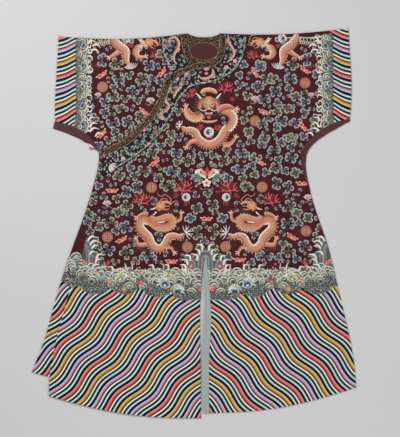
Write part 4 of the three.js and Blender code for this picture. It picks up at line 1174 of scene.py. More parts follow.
def facing_dragon(work):
    """The chest's dragon: it faces out, coils round its pearl and ends in a pale fan on the left."""
    body = [(219, 111.4), (226, 111.2), (231.6, 114.6), (233.2, 120), (230.6, 125.6), (225.4, 130),
            (221.6, 137), (216, 142.6), (209, 144.8), (202.6, 142.4), (198, 137.8), (195.4, 132.2),
            (190.8, 130.2), (185.6, 130), (181.6, 126.6)]
    wide = [7, 8.4, 8.8, 8.6, 8.8, 9, 8.6, 7.4, 6.6, 4]
    work.ribbon(body[4:], wide[3:], BODY[::-1], high=0.8, across=13)
    spines(work, body[5:], wide[3:], side=-1)
    work.ribbon(body[:6], wide[:6], BODY, high=0.8, lift=0.2, across=13)
    spines(work, body[:6], wide[:5], side=-1)
    claws(work, 180.6, 125.6, 3.6, reach=5.4, count=8, spreading=2.8,
          palette=dyes((214, 204, 170), (244, 240, 230)))
    leg(work, [(222.6, 113), (229.4, 108.2), (235.4, 109.4)], 0.1, width=(6.4, 4.6, 2.6),
        palette=dyes((176, 66, 60), (226, 142, 112), (240, 190, 154)))
    arm = [(202.4, 113.6), (197.6, 117.4), (190.6, 116.4), (187, 111.6), (186, 106.4)]
    arm_wide = (6, 8.4, 7.4, 5.4, 3)
    leg(work, arm, -1.6, width=arm_wide,
        palette=dyes((240, 200, 150), (222, 160, 108), (212, 142, 96), (150, 80, 60)))
    for side in (-1, 1):
        spines(work, arm, arm_wide, side=side, every=1.5)
    for k in range(6):
        work.ribbon([(186 + 2.6 * k, 112 + 1.2 * k), (188.6 + 2.4 * k, 110.8 + 0.8 * k)], [0.6, 0.2],
                    dyes((176, 104, 76)) * 2, high=0.3, lift=0.9)
    work.ribbon([(217.6, 112.4), (222, 108.4), (228, 106.8), (234.4, 108.8)], [5, 7, 5.6, 3],
                dyes((236, 186, 160), (212, 122, 104), (196, 96, 84), (128, 44, 44)), high=0.8, lift=0.75)
    claws(work, 236, 109.4, 0.3, reach=4.2, count=5)
    leg(work, [(197.6, 140.4), (190.8, 142.2), (186.4, 147)], 2.3, width=(5.6, 4.2, 2.4),
        palette=dyes((206, 80, 62), (230, 150, 110), (240, 186, 150)))
    leg(work, [(222.4, 144.6), (230.4, 143.4), (235.8, 137.4)], -1.1, width=(6, 4.2, 2.4))
    # Crest, mane, brow, cheeks, nose and jaw.
    work.ribbon([(200.8, 93.6), (204, 91), (MID, 90), (213.6, 91), (216.8, 93.6)], [3, 4.6, 4.8, 4.6, 3],
                dyes((232, 210, 170), (222, 164, 122), (208, 144, 104), (140, 56, 48)), high=0.7, lift=0.5)
    for k, a in enumerate(np.linspace(-0.3, np.pi + 0.3, 13)):
        work.disc(MID - 9.2 * np.cos(a), 105.4 - 6.6 * np.sin(a), (2.4, 1.7),
                  dyes((222, 160, 108), (204, 128, 86), (134, 60, 46)), core=(-0.6, 0),
                  turn=np.arctan2(-np.sin(a), -np.cos(a)), high=0.6, lift=0.5 + 0.1 * (k % 2))
    work.disc(MID, 103.0, (6.6, 7.0), dyes((230, 184, 128), (226, 166, 116), (214, 144, 104), (176, 92, 74)),
              core=(0, -0.3), high=1.0, lift=0.6, spokes=22)
    for side in (-1, 1):
        def out(*points):
            return [(MID + side * dx, y) for dx, y in points]

        work.ribbon(out((1.0, 101.6), (3.2, 100), (6, 101.2)), [0.9, 1.3, 0.4],
                    dyes((146, 160, 140), (70, 90, 84)), high=0.4, lift=1.5)
        work.disc(MID + side * 3.3, 104.4, (1.9, 1.5),
                  dyes((10, 14, 22), (20, 24, 30), (226, 216, 200), (120, 70, 56)), high=0.5, lift=1.5,
                  rings=5)
        for k in range(7):
            mane = np.array([MID + side * (8.4 + 0.5 * k), 98.5 + 2.6 * k])
            work.ribbon([mane, mane + [side * 3.2, -1.8], mane + [side * (6.6 - 0.4 * k), -0.6]],
                        [1.5, 1.2, 0.3], dyes((86, 84, 84), (44, 44, 50)), high=0.4, lift=0.05 * k,
                        along=True)
        for k in range(4):
            curl = np.array([MID + side * (5.4 + 1.3 * k), 107.6 + 1.5 * k])
            work.ribbon([curl, curl + [side * 2.2, 0.6], curl + [side * 2.6, 3.2], curl + [side * 0.8, 4.2]],
                        [0.9, 0.5], dyes((120, 112, 116), (58, 56, 66)), high=0.4, lift=0.9)
        work.ribbon(out((2.0, 109.6), (5.0, 110.8), (8.6, 109.4), (10.4, 106.4)), [2.0, 1.3, 0.7, 0.3],
                    dyes((232, 204, 190), (206, 160, 142)), high=0.5, lift=1.2)
        work.ribbon(out((2.6, 112.6), (2.9, 115)), [0.9, 0.3], WHITE, high=0.4, lift=1.6, along=True)
        horn = out((7.6, 99), (9.6, 96.4), (12.6, 93.2))
        work.ribbon(horn, [2.4, 1.6, 0.7], WHITE, high=0.6, lift=0.8, along=True)
        work.ribbon(out((8, 116.6), (11, 113), (12.4, 117)), [0.7, 0.4], DARK, high=0.3, lift=0.6)
        for k in range(5):
            x = MID + side * (3 + 1.7 * k)
            work.ribbon([(x, 113.6), (x + side * 0.9, 115.8), (x + side * 0.3, 118)], [0.9, 0.3],
                        dyes((96, 84, 96), (40, 38, 48)), high=0.3, lift=0.4, along=True)
    work.disc(MID, 108.4, (2.8, 1.7), dyes((240, 216, 206), (226, 176, 160), (140, 70, 64)), high=0.8,
              lift=1.5)
    work.ribbon([(204.6, 112.4), (206.6, 113.8), (MID, 114.2), (211, 113.8), (213, 112.4)],
                [1.2, 2.2, 2.6, 2.2, 1.2], dyes((246, 224, 216), (204, 92, 92), (156, 36, 46)), high=0.6,
                lift=1.1)
    work.disc(MID, 117.2, (2.6, 2.2), dyes((232, 150, 130), (196, 76, 76), (112, 20, 34)), high=0.6, lift=0.9)
    work.ribbon([(200.4, 120.4), (204.4, 121.8), (MID, 122.2), (213.2, 121.8), (217.4, 120.4)],
                [1.6, 2.4, 2.6, 2.4, 1.6], dyes((244, 216, 180), (222, 152, 112), (130, 44, 40)), high=0.6,
                lift=0.5)
    pearl(work, 209, 132.2, 5.4)
    for x, y, reach, turn in ((226, 87.6, 8.0, 0.15), (191.4, 93.4, 6.4, -0.3), (200.2, 127.4, 4.4, -0.4),
                              (218.6, 128, 5, 0.3), (209, 139.2, 4.2, 3.14), (232.4, 99, 3.2, 0.4)):
        flame(work, x, y, reach, turn)


def shoulder_dragon(work):
    """The left shoulder's dragon, which runs over the fold; only its front half is on this side."""
    body = [(111, 34), (114.6, 41), (120, 46.4), (125, 50.4), (126, 55.6), (126.4, 60.4), (129, 65)]
    wide = [7, 7.4, 8.6, 8.6, 7.4, 5.6, 3.2]
    work.ribbon(body, wide, BODY, high=0.8, lift=0.2, across=13)
    spines(work, body, wide, side=1)
    for r in (2.4, 4.2, 6.0, 7.8):
        work.ribbon(oval(129.6, 62.4, r, 0.8 * r, np.linspace(0.1, 2.3, 7)), [0.3, 1.0, 0.9], WHITE, high=0.5,
                    lift=0.3)
    work.ribbon([(110.4, 40), (113.4, 45.4), (116.6, 50)], [1.2, 2.0, 1.4],
                dyes((200, 120, 96), (150, 60, 54)), high=0.4, lift=0.4)
    leg(work, [(120, 51), (115, 54.6), (109.4, 57.4)], 2.7, width=(6, 4.4, 2.8))
    leg(work, [(142.6, 45.4), (137.6, 48.4), (135.8, 53.4), (139.2, 57.4), (145.2, 56.6)], -0.2,
        width=(5.4, 7.4, 6.4, 4.6, 2.6),
        palette=dyes((240, 212, 176), (222, 166, 124), (208, 144, 106), (150, 78, 62)))
    for k in range(4):
        work.ribbon([(134.6 + 0.4 * k, 47.4 + 2.4 * k), (136.8 + 0.4 * k, 48.4 + 2.2 * k)], [0.6, 0.2],
                    dyes((188, 84, 70)) * 2, high=0.3, lift=0.8)
    for k in range(6):
        lock = np.array([141.6 + 1.2 * k, 37.6 + 1.5 * k])
        work.ribbon([lock, lock + [-2.6, 1.6], lock + [-4.4, 0.4]], [1.8, 1.4, 0.3],
                    dyes((240, 212, 190), (206, 150, 124)), high=0.5, lift=0.3 + 0.05 * k, along=True)
    work.draw_at(profile_head, 149.4, 42.6, 0.5, 0.9)
    pearl(work, 127, 38.4, 4.6)
    flame(work, 156.4, 55.2, 6.4, 0.2)
    flame(work, 130.8, 45.6, 3.2, 0.6)
    flame(work, 98.4, 66, 3.2, 0.4, halo=False)
    for k in range(8):
        root = np.array([95.8 + 2.0 * k, 46.4 - 0.3 * k])
        work.ribbon([root, root + [-1.7, -2.2], root + [0.5, -4.8]], [0.5, 1.2, 0.4],
                    dyes((120, 110, 96), (228, 216, 192), (196, 182, 156)), high=0.4, lift=0.5)


hem_dragon, chest, shoulders = Needlework(), Needlework(), Needlework()
profile_dragon(hem_dragon)
facing_dragon(chest)
shoulder_dragon(shoulders)
hem_dragon.mirror(HEM_AXIS)
shoulders.mirror()
print("shapes:", len(hem_dragon.patches), len(chest.patches), len(shoulders.patches))

# %% [markdown]
# ## Medallions, bats and emblems
# Small charms fill the ground between the clouds: round medallions with a plain fret, bats with spread wings,
# and a few lotus and ribbon emblems. The fret is a cross with bars and has no lettering.

# %% Charms
def medallion(work, x, y, r=5.7):
    """A copper disc with a rim and a symmetric fret of bars."""
    line = dyes((112, 54, 46)) * 2
    work.disc(x, y, r, dyes((196, 140, 112), (188, 130, 104), (172, 112, 90)), high=0.5, spokes=24)
    work.ribbon(oval(x, y, 0.82 * r, 0.82 * r, np.linspace(0, 2 * np.pi, 13)), 0.5, line, high=0.2, lift=0.25)
    work.ribbon([(x, y - 0.7 * r), (x, y + 0.7 * r)], 0.55, line, high=0.2, lift=0.5)
    for dy, half in ((-0.45, 0.4), (0.0, 0.62), (0.45, 0.4)):
        work.ribbon([(x - half * r, y + dy * r), (x + half * r, y + dy * r)], 0.5, line, high=0.2, lift=0.5)
    for side in (-1, 1):
        work.ribbon([(x + side * 0.4 * r, y - 0.45 * r), (x + side * 0.4 * r, y - 0.1 * r)], 0.45, line,
                    high=0.2, lift=0.45)
        work.ribbon([(x + side * 0.4 * r, y + 0.1 * r), (x + side * 0.4 * r, y + 0.45 * r)], 0.45, line,
                    high=0.2, lift=0.45)


def bat(work, x, y, turn):
    """A bat seen from above: body, two scalloped wings and two pale wing tips."""
    c, s = np.cos(turn), np.sin(turn)

    def at(dx, dy):
        return x + dx * c - dy * s, y + dx * s + dy * c

    for side in (-1, 1):
        work.ribbon([at(0, 0.2), at(side * 2.2, -1.5), at(side * 4.4, -0.4), at(side * 6.0, -1.4)],
                    [1.9, 2.1, 1.6, 0.7], ROSE, high=0.5)
        for dx in (2.0, 3.8):
            work.disc(*at(side * dx, 1.1), 1.15, dyes((236, 168, 152), (200, 84, 84)), high=0.4, lift=0.1,
                      spokes=9, rings=3)
        work.disc(*at(side * 5.6, -1.2), 0.9, dyes((250, 226, 208), (226, 140, 120)), high=0.4, lift=0.3,
                  spokes=9, rings=3)
    work.disc(*at(0, 0.6), (1.3, 1.9), dyes((244, 196, 170), (204, 88, 84)), high=0.6, lift=0.3, turn=turn,
              spokes=10)


def emblem(work, x, y, size):
    """A lotus emblem: petals that fan upwards over a curled ribbon."""
    palette = dyes((150, 92, 120), (196, 150, 168), (228, 208, 204))
    for k, a in enumerate(np.linspace(-2.6, -0.54, 5)):
        work.disc(x + 2.4 * size * np.cos(a), y + 2.2 * size * np.sin(a), (2.0 * size, 1.0 * size), palette,
                  core=(-0.7, 0), turn=a, high=0.5, lift=0.1 * (k % 2), spokes=10)
    work.ribbon([(x - 4.4 * size, y + 1.0 * size), (x - 1.6 * size, y + 2.8 * size),
                 (x + 1.6 * size, y + 1.2 * size), (x + 4.4 * size, y + 3.0 * size)], [0.5, 1.1, 1.1, 0.4],
                dyes((140, 150, 120), (90, 84, 108)), high=0.4)
    work.disc(x, y + 0.5 * size, 1.0 * size, dyes((220, 196, 132), (150, 110, 70)), high=0.5, lift=0.3,
              spokes=9, rings=3)


MEDALLIONS = [(102.5, 87), (151.5, 187.5), (107.5, 237), (187.5, 247), (305, 83), (255, 121), (262, 187),
              (306, 231), (225.5, 246.7)]
BATS = [(102, 75, -0.6), (144, 112, 0.6), (102, 134, -0.8), (162, 72.7, -0.9), (112, 190.8, 0),
        (121.7, 240, -0.5), (171.4, 261.6, 0), (155, 162.5, -0.7), (305, 70, 0.6), (264, 112, 0.3),
        (303, 127, 0.8), (260, 162, 0.6), (302, 183.6, 0), (292, 237, 0.5), (239.5, 260, 0), (255, 73, 0.9),
        (206.5, 219, 0)]
EMBLEMS = [(150.5, 102, 1.2), (255, 100.5, 1.2), (107, 205, 1.2), (308, 199, 1.2), (98, 96, 0.9),
           (311, 96, 0.9)]
charms = Needlework()
for x, y in MEDALLIONS:
    medallion(charms, x, y)
for x, y, turn in BATS:
    bat(charms, x, y, turn)
for x, y, size in EMBLEMS:
    emblem(charms, x, y, size)
# The large lotus in the middle of the front, over a smaller flower.
LOTUS, FLOWER = (207, 172), (206.6, 183)
# right, down, half length, half width, lean, palette of each petal on one side
PETALS = [
    (9.4, -0.6, 3.4, 1.9, 0.55, CREAM), (4.4, -8.2, 3.6, 2.0, 1.9, GREEN), (8.2, -6.4, 3.0, 1.7, 2.3, GREY),
    (12.4, 3.4, 4.4, 1.6, 0.1, GREEN), (9.6, 7.4, 4.2, 1.9, 0.7, TEAL), (14.8, 6.4, 3.0, 1.3, 0.3, GREY),
    (6.8, 10.0, 3.4, 1.7, 1.1, GREEN), (10.2, 13.4, 2.6, 1.4, 0.8, GREY)]
for side in (-1, 1):
    for dx, dy, long, wide, a, palette in PETALS:
        lean = a if dy > -2 else -a
        charms.disc(LOTUS[0] + side * dx, LOTUS[1] + dy, (long, wide), palette, core=(-0.6, 0),
                    turn=lean if side > 0 else np.pi - lean, high=0.5, spokes=12, rings=5)
    charms.ribbon([(LOTUS[0] + side * 1, 178), (LOTUS[0] + side * 6.4, 175), (LOTUS[0] + side * 11.6, 169.6)],
                  [2.6, 2.4, 0.7], dyes((160, 166, 120), (228, 218, 178), (238, 230, 200)), high=0.6,
                  lift=0.3)
    charms.ribbon([(LOTUS[0] + side * 0.6, 175.6), (LOTUS[0] + side * 4.2, 172.4),
                   (LOTUS[0] + side * 6.8, 167.6)], [3.0, 3.4, 0.9],
                  dyes((232, 160, 130), (214, 110, 90), (244, 204, 176)), high=0.6, lift=0.45)
charms.ribbon([(LOTUS[0], 175.4), (LOTUS[0], 171), (LOTUS[0], 166.6)], [3.2, 3.6, 0.8],
              dyes((214, 96, 84), (150, 30, 40), (214, 96, 84)), high=0.6, lift=0.6)
for k, a in enumerate(np.linspace(0, 5.03, 5) - np.pi / 2):
    charms.disc(FLOWER[0] + 2.6 * np.cos(a), FLOWER[1] + 2.4 * np.sin(a), (2.0, 1.6),
                dyes((206, 110, 120), (240, 206, 200), (244, 236, 226)), core=(-0.6, 0), turn=a, high=0.5,
                lift=0.3 + 0.05 * k, spokes=10)
charms.disc(*FLOWER, 1.3, dyes((150, 30, 50), (196, 80, 90)), high=0.5, lift=0.8, spokes=10)
for side in (-1, 1):
    stalk = [(FLOWER[0] + side * dx, y) for dx, y in ((0, 188.6), (4, 189.6), (6.4, 187.6), (6, 190.8))]
    charms.ribbon(stalk, [0.8, 0.5], GREY[2:], high=0.3)
print("charms:", len(charms.patches), "shapes")

# %% [markdown]
# ## Clouds
# A cloud is a few thin stems that leave its middle, and each stem ends in three fans: one ahead and one on
# either side. The fans overlap like petals. The clouds' places are charted, and chance loosens the angles and
# the sizes of the fans a little.


# %% Clouds
def cloud(work, x, y, family, wide=4.4, tall=3.9, lobes=6, size=2.5, turn=0.4):
    """Fans about (x, y) in threes: a stem leads to each tip, whose fans face out, left and right."""
    palette = FAMILIES[family]
    tips = max(2, round(lobes / 1.7))
    for a in np.linspace(0, 2 * np.pi, tips, endpoint=False) + rng.uniform(-0.25, 0.25, tips) + turn:
        out = rng.uniform(0.9, 1.3)
        tip = np.array([x + wide * out * np.cos(a), y + tall * out * np.sin(a)])
        away = np.arctan2(tip[1] - y, tip[0] - x)
        work.ribbon([(x, y), tip], [0.5 * size, 0.34 * size], [palette[3], palette[0], palette[3]], high=0.35,
                    across=5)
        for aim, far, grow in ((-1.35, 0.72, 0.78), (1.35, 0.72, 0.78), (0.0, 0.5, 0.86)):
            grow = grow * size * rng.uniform(0.88, 1.08)
            fan = tip + np.array([far * size * np.cos(away + aim) * 0.9,
                                  far * size * np.sin(away + aim) * 0.9])
            work.disc(*fan, (grow * 0.58, grow * 1.04), palette, core=(-0.95, 0), turn=away + aim, high=0.55,
                      lift=0.1 if aim else 0.25, spokes=8, rings=6)


LEFT_CLOUDS = [
    (102, 60, "b", 2.4, 5.2, 7), (116, 63.8, "g"), (149, 66, "b"), (118.6, 79, "b", 5, 2.6), (141.6, 79, "g"),
    (132.6, 91.8, "b"), (113.5, 97, "g", 4.6, 2.6), (104.6, 102, "b", 3, 2.8, 5), (121, 108.5, "g", 4.4, 2.6),
    (104.5, 112.6, "b", 2.6, 3.4, 5), (94.4, 118.6, "b", 2.4, 3.2, 5), (113.5, 122.7, "b", 4.4, 3),
    (127.5, 121.4, "b"), (140.6, 116.4, "g"), (120, 137.8, "g", 5, 2.4), (91, 106, "t", 2.2, 2, 4, 1.8),
    (96, 50, "s", 2, 2, 4, 1.8), (128, 40, "g", 3.6, 2.2, 5), (143, 47, "t", 3, 2, 5, 1.9),
    (160, 54, "g", 3, 2.4, 5), (132, 52, "s", 1.8, 1.6, 4, 1.5), (104, 43, "g", 4, 1.8, 5, 1.8)]
LEFT_HEM_CLOUDS = [
    (126.8, 191.5, "b", 3.4, 4.6, 7), (137.6, 187.7, "b", 3.2, 4.4, 7), (167.6, 185.7, "g", 5.4, 3),
    (127, 206, "g"), (118.5, 212, "g", 3.4, 3), (109.6, 223, "g", 5.4, 3.2, 7), (125.5, 227, "b", 5, 4, 7),
    (153.6, 200.4, "s", 2.2, 3.6, 5, 1.8), (176, 208, "b", 2.2, 2.8, 4, 1.8), (190.6, 218.3, "b", 3.6, 2.6),
    (197, 208.7, "g", 4.4, 4, 7), (197, 232.5, "g", 3, 5.6, 7), (158.7, 236, "b", 2.4, 3, 5, 1.9),
    (108.3, 250, "b", 5, 4, 7), (126.8, 253, "g", 4.6, 4.6, 7), (148.5, 256.5, "b", 7, 2.4, 8),
    (165.7, 254, "t", 2.2, 1.6, 4, 1.7), (101, 212, "s", 2, 2.6, 4, 1.6), (99, 227, "g", 2.2, 3.4, 5),
    (104, 196, "g", 2.6, 2.4, 5, 1.9), (140, 202, "s", 2, 1.6, 4, 1.4), (176, 228, "s", 1.8, 1.4, 4, 1.3),
    (184, 240, "g", 2.4, 1.4, 4, 1.4), (132, 240, "s", 1.8, 1.6, 4, 1.4), (187, 262, "t", 1.8, 1.6, 4, 1.4),
    (178, 190, "t", 2, 1.6, 4, 1.5), (196, 195, "b", 2.6, 2, 5, 1.7), (115, 262, "g", 3, 1.8, 5, 1.7)]
MIDDLE_CLOUDS = [
    (151.8, 153.5, "g", 4.8, 2.8), (177, 153, "b", 5.2, 2.6), (171, 171, "b", 6.4, 2.6, 8), (144, 171.4, "g"),
    (118.6, 176, "g", 4.6, 2.6), (159.4, 178, "g", 3.6, 2.2, 5), (187.5, 160.6, "g"),
    (130, 158, "b", 4.4, 2.6), (118, 154, "g", 3, 3), (135, 176, "b", 3, 2.4, 5),
    (165, 160, "s", 2, 1.6, 4, 1.5), (112, 168, "s", 1.8, 2, 4, 1.5), (190, 172, "s", 2.2, 1.8, 4, 1.6),
    (182, 176, "b", 3, 2.2, 5, 1.9), (108, 178, "b", 2, 2.4, 4, 1.8), (150, 143, "b", 4, 2, 5),
    (134, 144.5, "t", 3.6, 2, 5), (118, 146.5, "b", 2.6, 2, 5), (170, 142, "g", 2.6, 2.6, 5),
    (165, 126, "g", 2.2, 3.4, 5), (160, 135, "t", 2, 1.8, 4, 1.6), (174, 103, "b", 2, 2.6, 5, 1.8),
    (184, 98, "g", 2.4, 1.8, 4, 1.7), (192, 155.5, "b", 3.4, 1.8, 5, 1.8), (171, 117, "b", 1.8, 2.4, 4, 1.7),
    (174, 90, "t", 2, 2, 4, 1.6)]
RIGHT_CLOUDS = [(2 * AXIS - x, *rest) for x, *rest in LEFT_CLOUDS[:17]] + [
    (258, 86.7, "b", 4.6, 3), (272, 79, "g", 3.6, 3.4), (260, 66, "b", 3.6, 3.6),
    (249, 76, "t", 2, 2.6, 4, 1.8), (281, 40, "g", 3.6, 2.2, 5), (266, 47, "t", 3, 2, 5, 1.9),
    (247, 96, "g", 3, 2, 5), (264, 99, "b", 4.6, 2.4), (277, 112, "g", 3, 2.4, 5),
    (250, 110, "g", 2.2, 1.8, 4), (262, 124, "b", 4, 2.2), (277, 127, "t", 2.6, 3), (249, 132, "g", 3.2, 3),
    (264, 139, "g", 4.8, 2.2), (281, 142, "b", 2.8, 2.4, 5), (292, 137, "g", 4, 2.2)]
RIGHT_HEM_CLOUDS = [
    (242, 153, "b", 5, 2.6), (274, 150, "b", 5, 2.4), (291, 158, "b"), (224, 160.6, "g"),
    (239.5, 169.5, "b", 6, 2.6, 8), (275, 168, "g"), (295, 172.8, "g", 3, 3), (254.8, 174.6, "g", 3, 2.4, 5),
    (276.5, 183.6, "b", 3.4, 4.4, 7), (288, 187.4, "b", 3.2, 4.4, 7), (260, 199, "s", 2.2, 3.4, 5, 1.8),
    (289, 206.5, "g"), (308, 218, "g", 3, 3), (288, 223, "t", 5, 4, 7), (304.6, 246, "b", 5, 3.6, 7),
    (288, 251, "g", 4.4, 4.4, 7), (263.8, 256, "b", 7, 2.4, 8), (246, 253, "t", 2.2, 1.6, 4, 1.7),
    (254.8, 234.6, "b", 2.4, 3, 5, 1.9), (223, 218, "b", 3.6, 2.6), (212.8, 205, "g", 4, 3.8, 7),
    (214, 231, "g", 3, 5.6, 7), (256, 158, "g", 4.4, 2.6), (222, 172, "s", 2.2, 1.8, 4, 1.6),
    (228, 178, "b", 3, 2.2, 5), (246, 187, "g", 5, 2.8), (309, 179, "b", 2.4, 3, 5),
    (299, 192, "t", 2, 2.2, 4, 1.7), (311, 207, "s", 1.8, 3, 4, 1.6), (236, 207, "b", 2.2, 2.8, 4, 1.8),
    (307, 262, "g", 3, 1.8, 5, 1.7), (297, 213, "g", 4, 2.6), (316, 238, "g", 2.2, 4, 5),
    (228, 240, "s", 2, 1.4, 4, 1.4), (262, 145, "s", 3, 1.6, 5), (234, 160, "g", 3, 2, 5, 1.8),
    (240, 144, "b", 2.8, 2, 5, 1.8), (302, 150, "s", 2, 2.4, 4, 1.6), (285, 195, "s", 1.8, 1.4, 4, 1.3)]


GRID = 2.6  # squares between the points that are tried for a filler


def gaps(taken, low, high, room):
    """Points on a loosened grid that stand clear of every (x, y, reach) so far, for the small fillers."""
    found = []
    for y in np.arange(low[1], high[1], GRID):
        for x in np.arange(low[0], high[0], GRID):
            spot = np.array([x, y]) + rng.uniform(-0.8, 0.8, 2)
            away = np.hypot(*(taken[:, :2] - spot).T) - taken[:, 2]
            if away.min() > room:
                found.append(spot)
                taken = np.vstack([taken, [*spot, room]])
    return found, taken


def covered(works, reach, every=7):
    """Rows of x, y and reach for every seventh or so point of the shapes so far."""
    rows = [xy.reshape(-1, 2)[::every] for work in works for xy, *_ in work.patches]
    return np.column_stack([np.vstack(rows), np.full(sum(map(len, rows)), reach)])


def part_at(x, y):
    """The wearer's part of the front at a point of the chart: the chest, or a side's sleeve or front."""
    if 150 <= x <= 255:
        return "chest"
    return ("right" if x < 150 else "left") + ("_sleeve" if y < 145 else "_front")


charted = {"right_sleeve": LEFT_CLOUDS, "right_front": LEFT_HEM_CLOUDS, "chest": MIDDLE_CLOUDS,
           "left_sleeve": RIGHT_CLOUDS, "left_front": RIGHT_HEM_CLOUDS}
stitched = {name: Needlework() for name in charted}
taken = covered((hem_dragon, chest, shoulders, charms), 0.6)
for name, table in charted.items():
    for x, y, family, *sizes in table:
        cloud(stitched[name], x, y, family, *sizes, turn=rng.uniform(0, 6.28))
    taken = np.vstack([taken, covered([stitched[name]], 0.5)])
for room, size, lobes, families in ((4.4, 2.2, 5, "bg"), (3.3, 1.7, 4, "bgts")):
    spots, taken = gaps(taken, (88, 38), (322, 262), room)
    for x, y in spots:
        if not 130 < y < 145 or 96 < x < 314:
            cloud(stitched[part_at(x, y)], x, y, families[rng.integers(len(families))], room * 0.62,
                  room * 0.55, lobes, size, rng.uniform(0, 6.28))
for name, work in stitched.items():
    work.make(f"clouds_{name}", FRONT, FLOSS)
hem_dragon.make("dragons_hem", FRONT, SCALES)
chest.make("dragon_chest", FRONT, SCALES)
shoulders.make("dragons_shoulder", FRONT, SCALES)
charms.make("charms", FRONT, FLOSS)

# %% [markdown]
# ## The sea
# Waves break between the ground and the stripes. A dull green field lies under everything. On it come foam
# bubbles on a loosened honeycomb, then breakers of nested arcs and wave heads, which are fans whose rings
# gather low, with hooked crests. Rocks of nested arches stand at both sides and in the middle. The sleeve
# ends carry the same sea turned a quarter round.

# %% Foam, wave heads and rocks
FOAM = [dyes((152, 158, 152), (106, 118, 116), (54, 60, 58)),
        dyes((168, 168, 144), (110, 116, 98), (58, 60, 50)),
        dyes((158, 150, 158), (110, 102, 112), (54, 50, 56)),
        dyes((180, 170, 148), (124, 112, 92), (60, 54, 46)),
        dyes((196, 200, 184), (132, 146, 134), (56, 64, 60))]
HEADS = {"b": dyes((226, 226, 208), (16, 38, 80), (60, 100, 134), (180, 188, 180), (232, 228, 208)),
         "g": dyes((226, 226, 200), (60, 92, 44), (126, 146, 86), (206, 200, 156), (226, 220, 188)),
         "n": dyes((206, 206, 194), (10, 24, 62), (28, 54, 92), (140, 156, 154), (200, 198, 176)),
         "c": dyes((54, 64, 60), (150, 146, 124), (96, 108, 98), (198, 194, 174), (56, 62, 58)),
         "d": dyes((120, 126, 118), (10, 16, 20), (44, 58, 60), (150, 154, 144), (44, 52, 50)),
         "t": dyes((120, 134, 122), (14, 60, 58), (70, 108, 100), (168, 176, 162), (40, 62, 58))}
SHADE = dyes((26, 36, 38), (92, 102, 94), (24, 32, 34))
PALE = dyes((36, 42, 40), (172, 166, 146), (240, 232, 214), (190, 184, 164))


def hook(work, x, y, dx, dy, bend=0.45, width=1.5, palette=None, lift=0.75):
    """A crest: a crescent from (x, y) to (x + dx, y + dy), bowed sideways and drawn to a point."""
    root, step = np.array([x, y]), np.array([dx, dy])
    side = np.array([step[1], -step[0]]) * bend
    work.ribbon([root, root + step * 0.45 + side, root + step], [width * 0.8, width, 0.3], palette or CREAM,
                high=0.6, lift=lift, step=0.5)


def crests(work, pairs, bend, width, lift):
    """A hook for each (tip, root) pair."""
    for (tip_x, tip_y), (x, y) in pairs:
        hook(work, x, y, tip_x - x, tip_y - y, bend=bend, width=width, lift=lift)


def foam(work, top, bottom, pitch=2.35, size=1.32):
    """Bubbles between two lines, each with a dark outline."""
    top, bottom = np.asarray(top, float), np.asarray(bottom, float)
    for row, y in enumerate(np.arange(top[:, 1].min(), bottom[:, 1].max() + pitch, pitch * 0.86)):
        for x in np.arange(top[0, 0] + (row % 2) * pitch / 2, top[-1, 0], pitch):
            spot = np.array([x, y]) + rng.uniform(-0.6, 0.6, 2)
            lump = abs(np.sin(spot[0] * 0.36 + 0.8 * np.sin(spot[1] * 0.31))
                       * np.sin(spot[1] * 0.42 + 0.5 * np.sin(spot[0] * 0.2)))
            if np.interp(spot[0], *top.T) <= spot[1] <= np.interp(spot[0], *bottom.T) - 0.4 * size:
                work.disc(*spot, size * rng.uniform(0.75, 1.1),
                          [(0.8 + 0.55 * lump) * np.array(tone) for tone in FOAM[rng.integers(5)]],
                          core=(0, 0.3), turn=rng.uniform(0, 6.28), high=0.45, lift=0.25, spokes=6, rings=3)


def breaker(work, x, y, r, lean=1, kind="n", arcs=3, turn=0.0):
    """A rolling wave: a flat dark fan under nested arcs, pale and dark by turns, that curl towards lean."""
    work.disc(x, y, (r * 0.95, r * 0.6), HEADS[kind][1:], core=(0.1 * lean, 0.5), turn=turn, high=0.5,
              lift=0.45, spokes=13, rings=5)
    for k in range(arcs):
        a = np.linspace(0.94, 1.9, 7) * np.pi
        s = r * (1.06 - 0.27 * k) * np.array([1.12, 1.08, 1.04, 1.0, 0.94, 0.82, 0.66])
        arc = np.column_stack([lean * s * np.cos(a), 0.9 * s * np.sin(a) + 0.1 * r])
        arc = arc @ np.array([[np.cos(turn), np.sin(turn)], [-np.sin(turn), np.cos(turn)]])
        work.ribbon(arc + [x, y], [0.3, 1.0, 1.5, 1.7, 1.5, 1.1, 0.5], (PALE, SHADE)[k % 2], high=0.5,
                    lift=0.75 - 0.1 * k)


def wave_head(work, x, y, r, kind, lean):
    """A breaking wave: a fan that gathers low, ringed in cream, with hooked crests over its shoulder."""
    work.disc(x, y, (r, r * 0.86), HEADS[kind], core=(0.12 * lean, 0.62 if kind in "bg" else 0.86), high=0.7,
              lift=0.5, spokes=20, rings=7)
    for k in range(3):
        a = 2.5 - 0.62 * k
        hook(work, x - lean * r * np.cos(a) * 0.95, y - r * np.sin(a) * 0.85, lean * (2.2 + 0.5 * k),
             -1.9 + 0.9 * k, bend=-0.5 * lean, width=1.5, lift=0.85)
    if kind in "bg":
        work.ribbon([(x - 0.1 * r * lean, y + 0.62 * r), (x + 0.1 * r * lean, y + 0.3 * r),
                     (x + 0.36 * r * lean, y + 0.4 * r)], [0.24 * r, 0.1 * r], WHITE, high=0.3, lift=1.3)


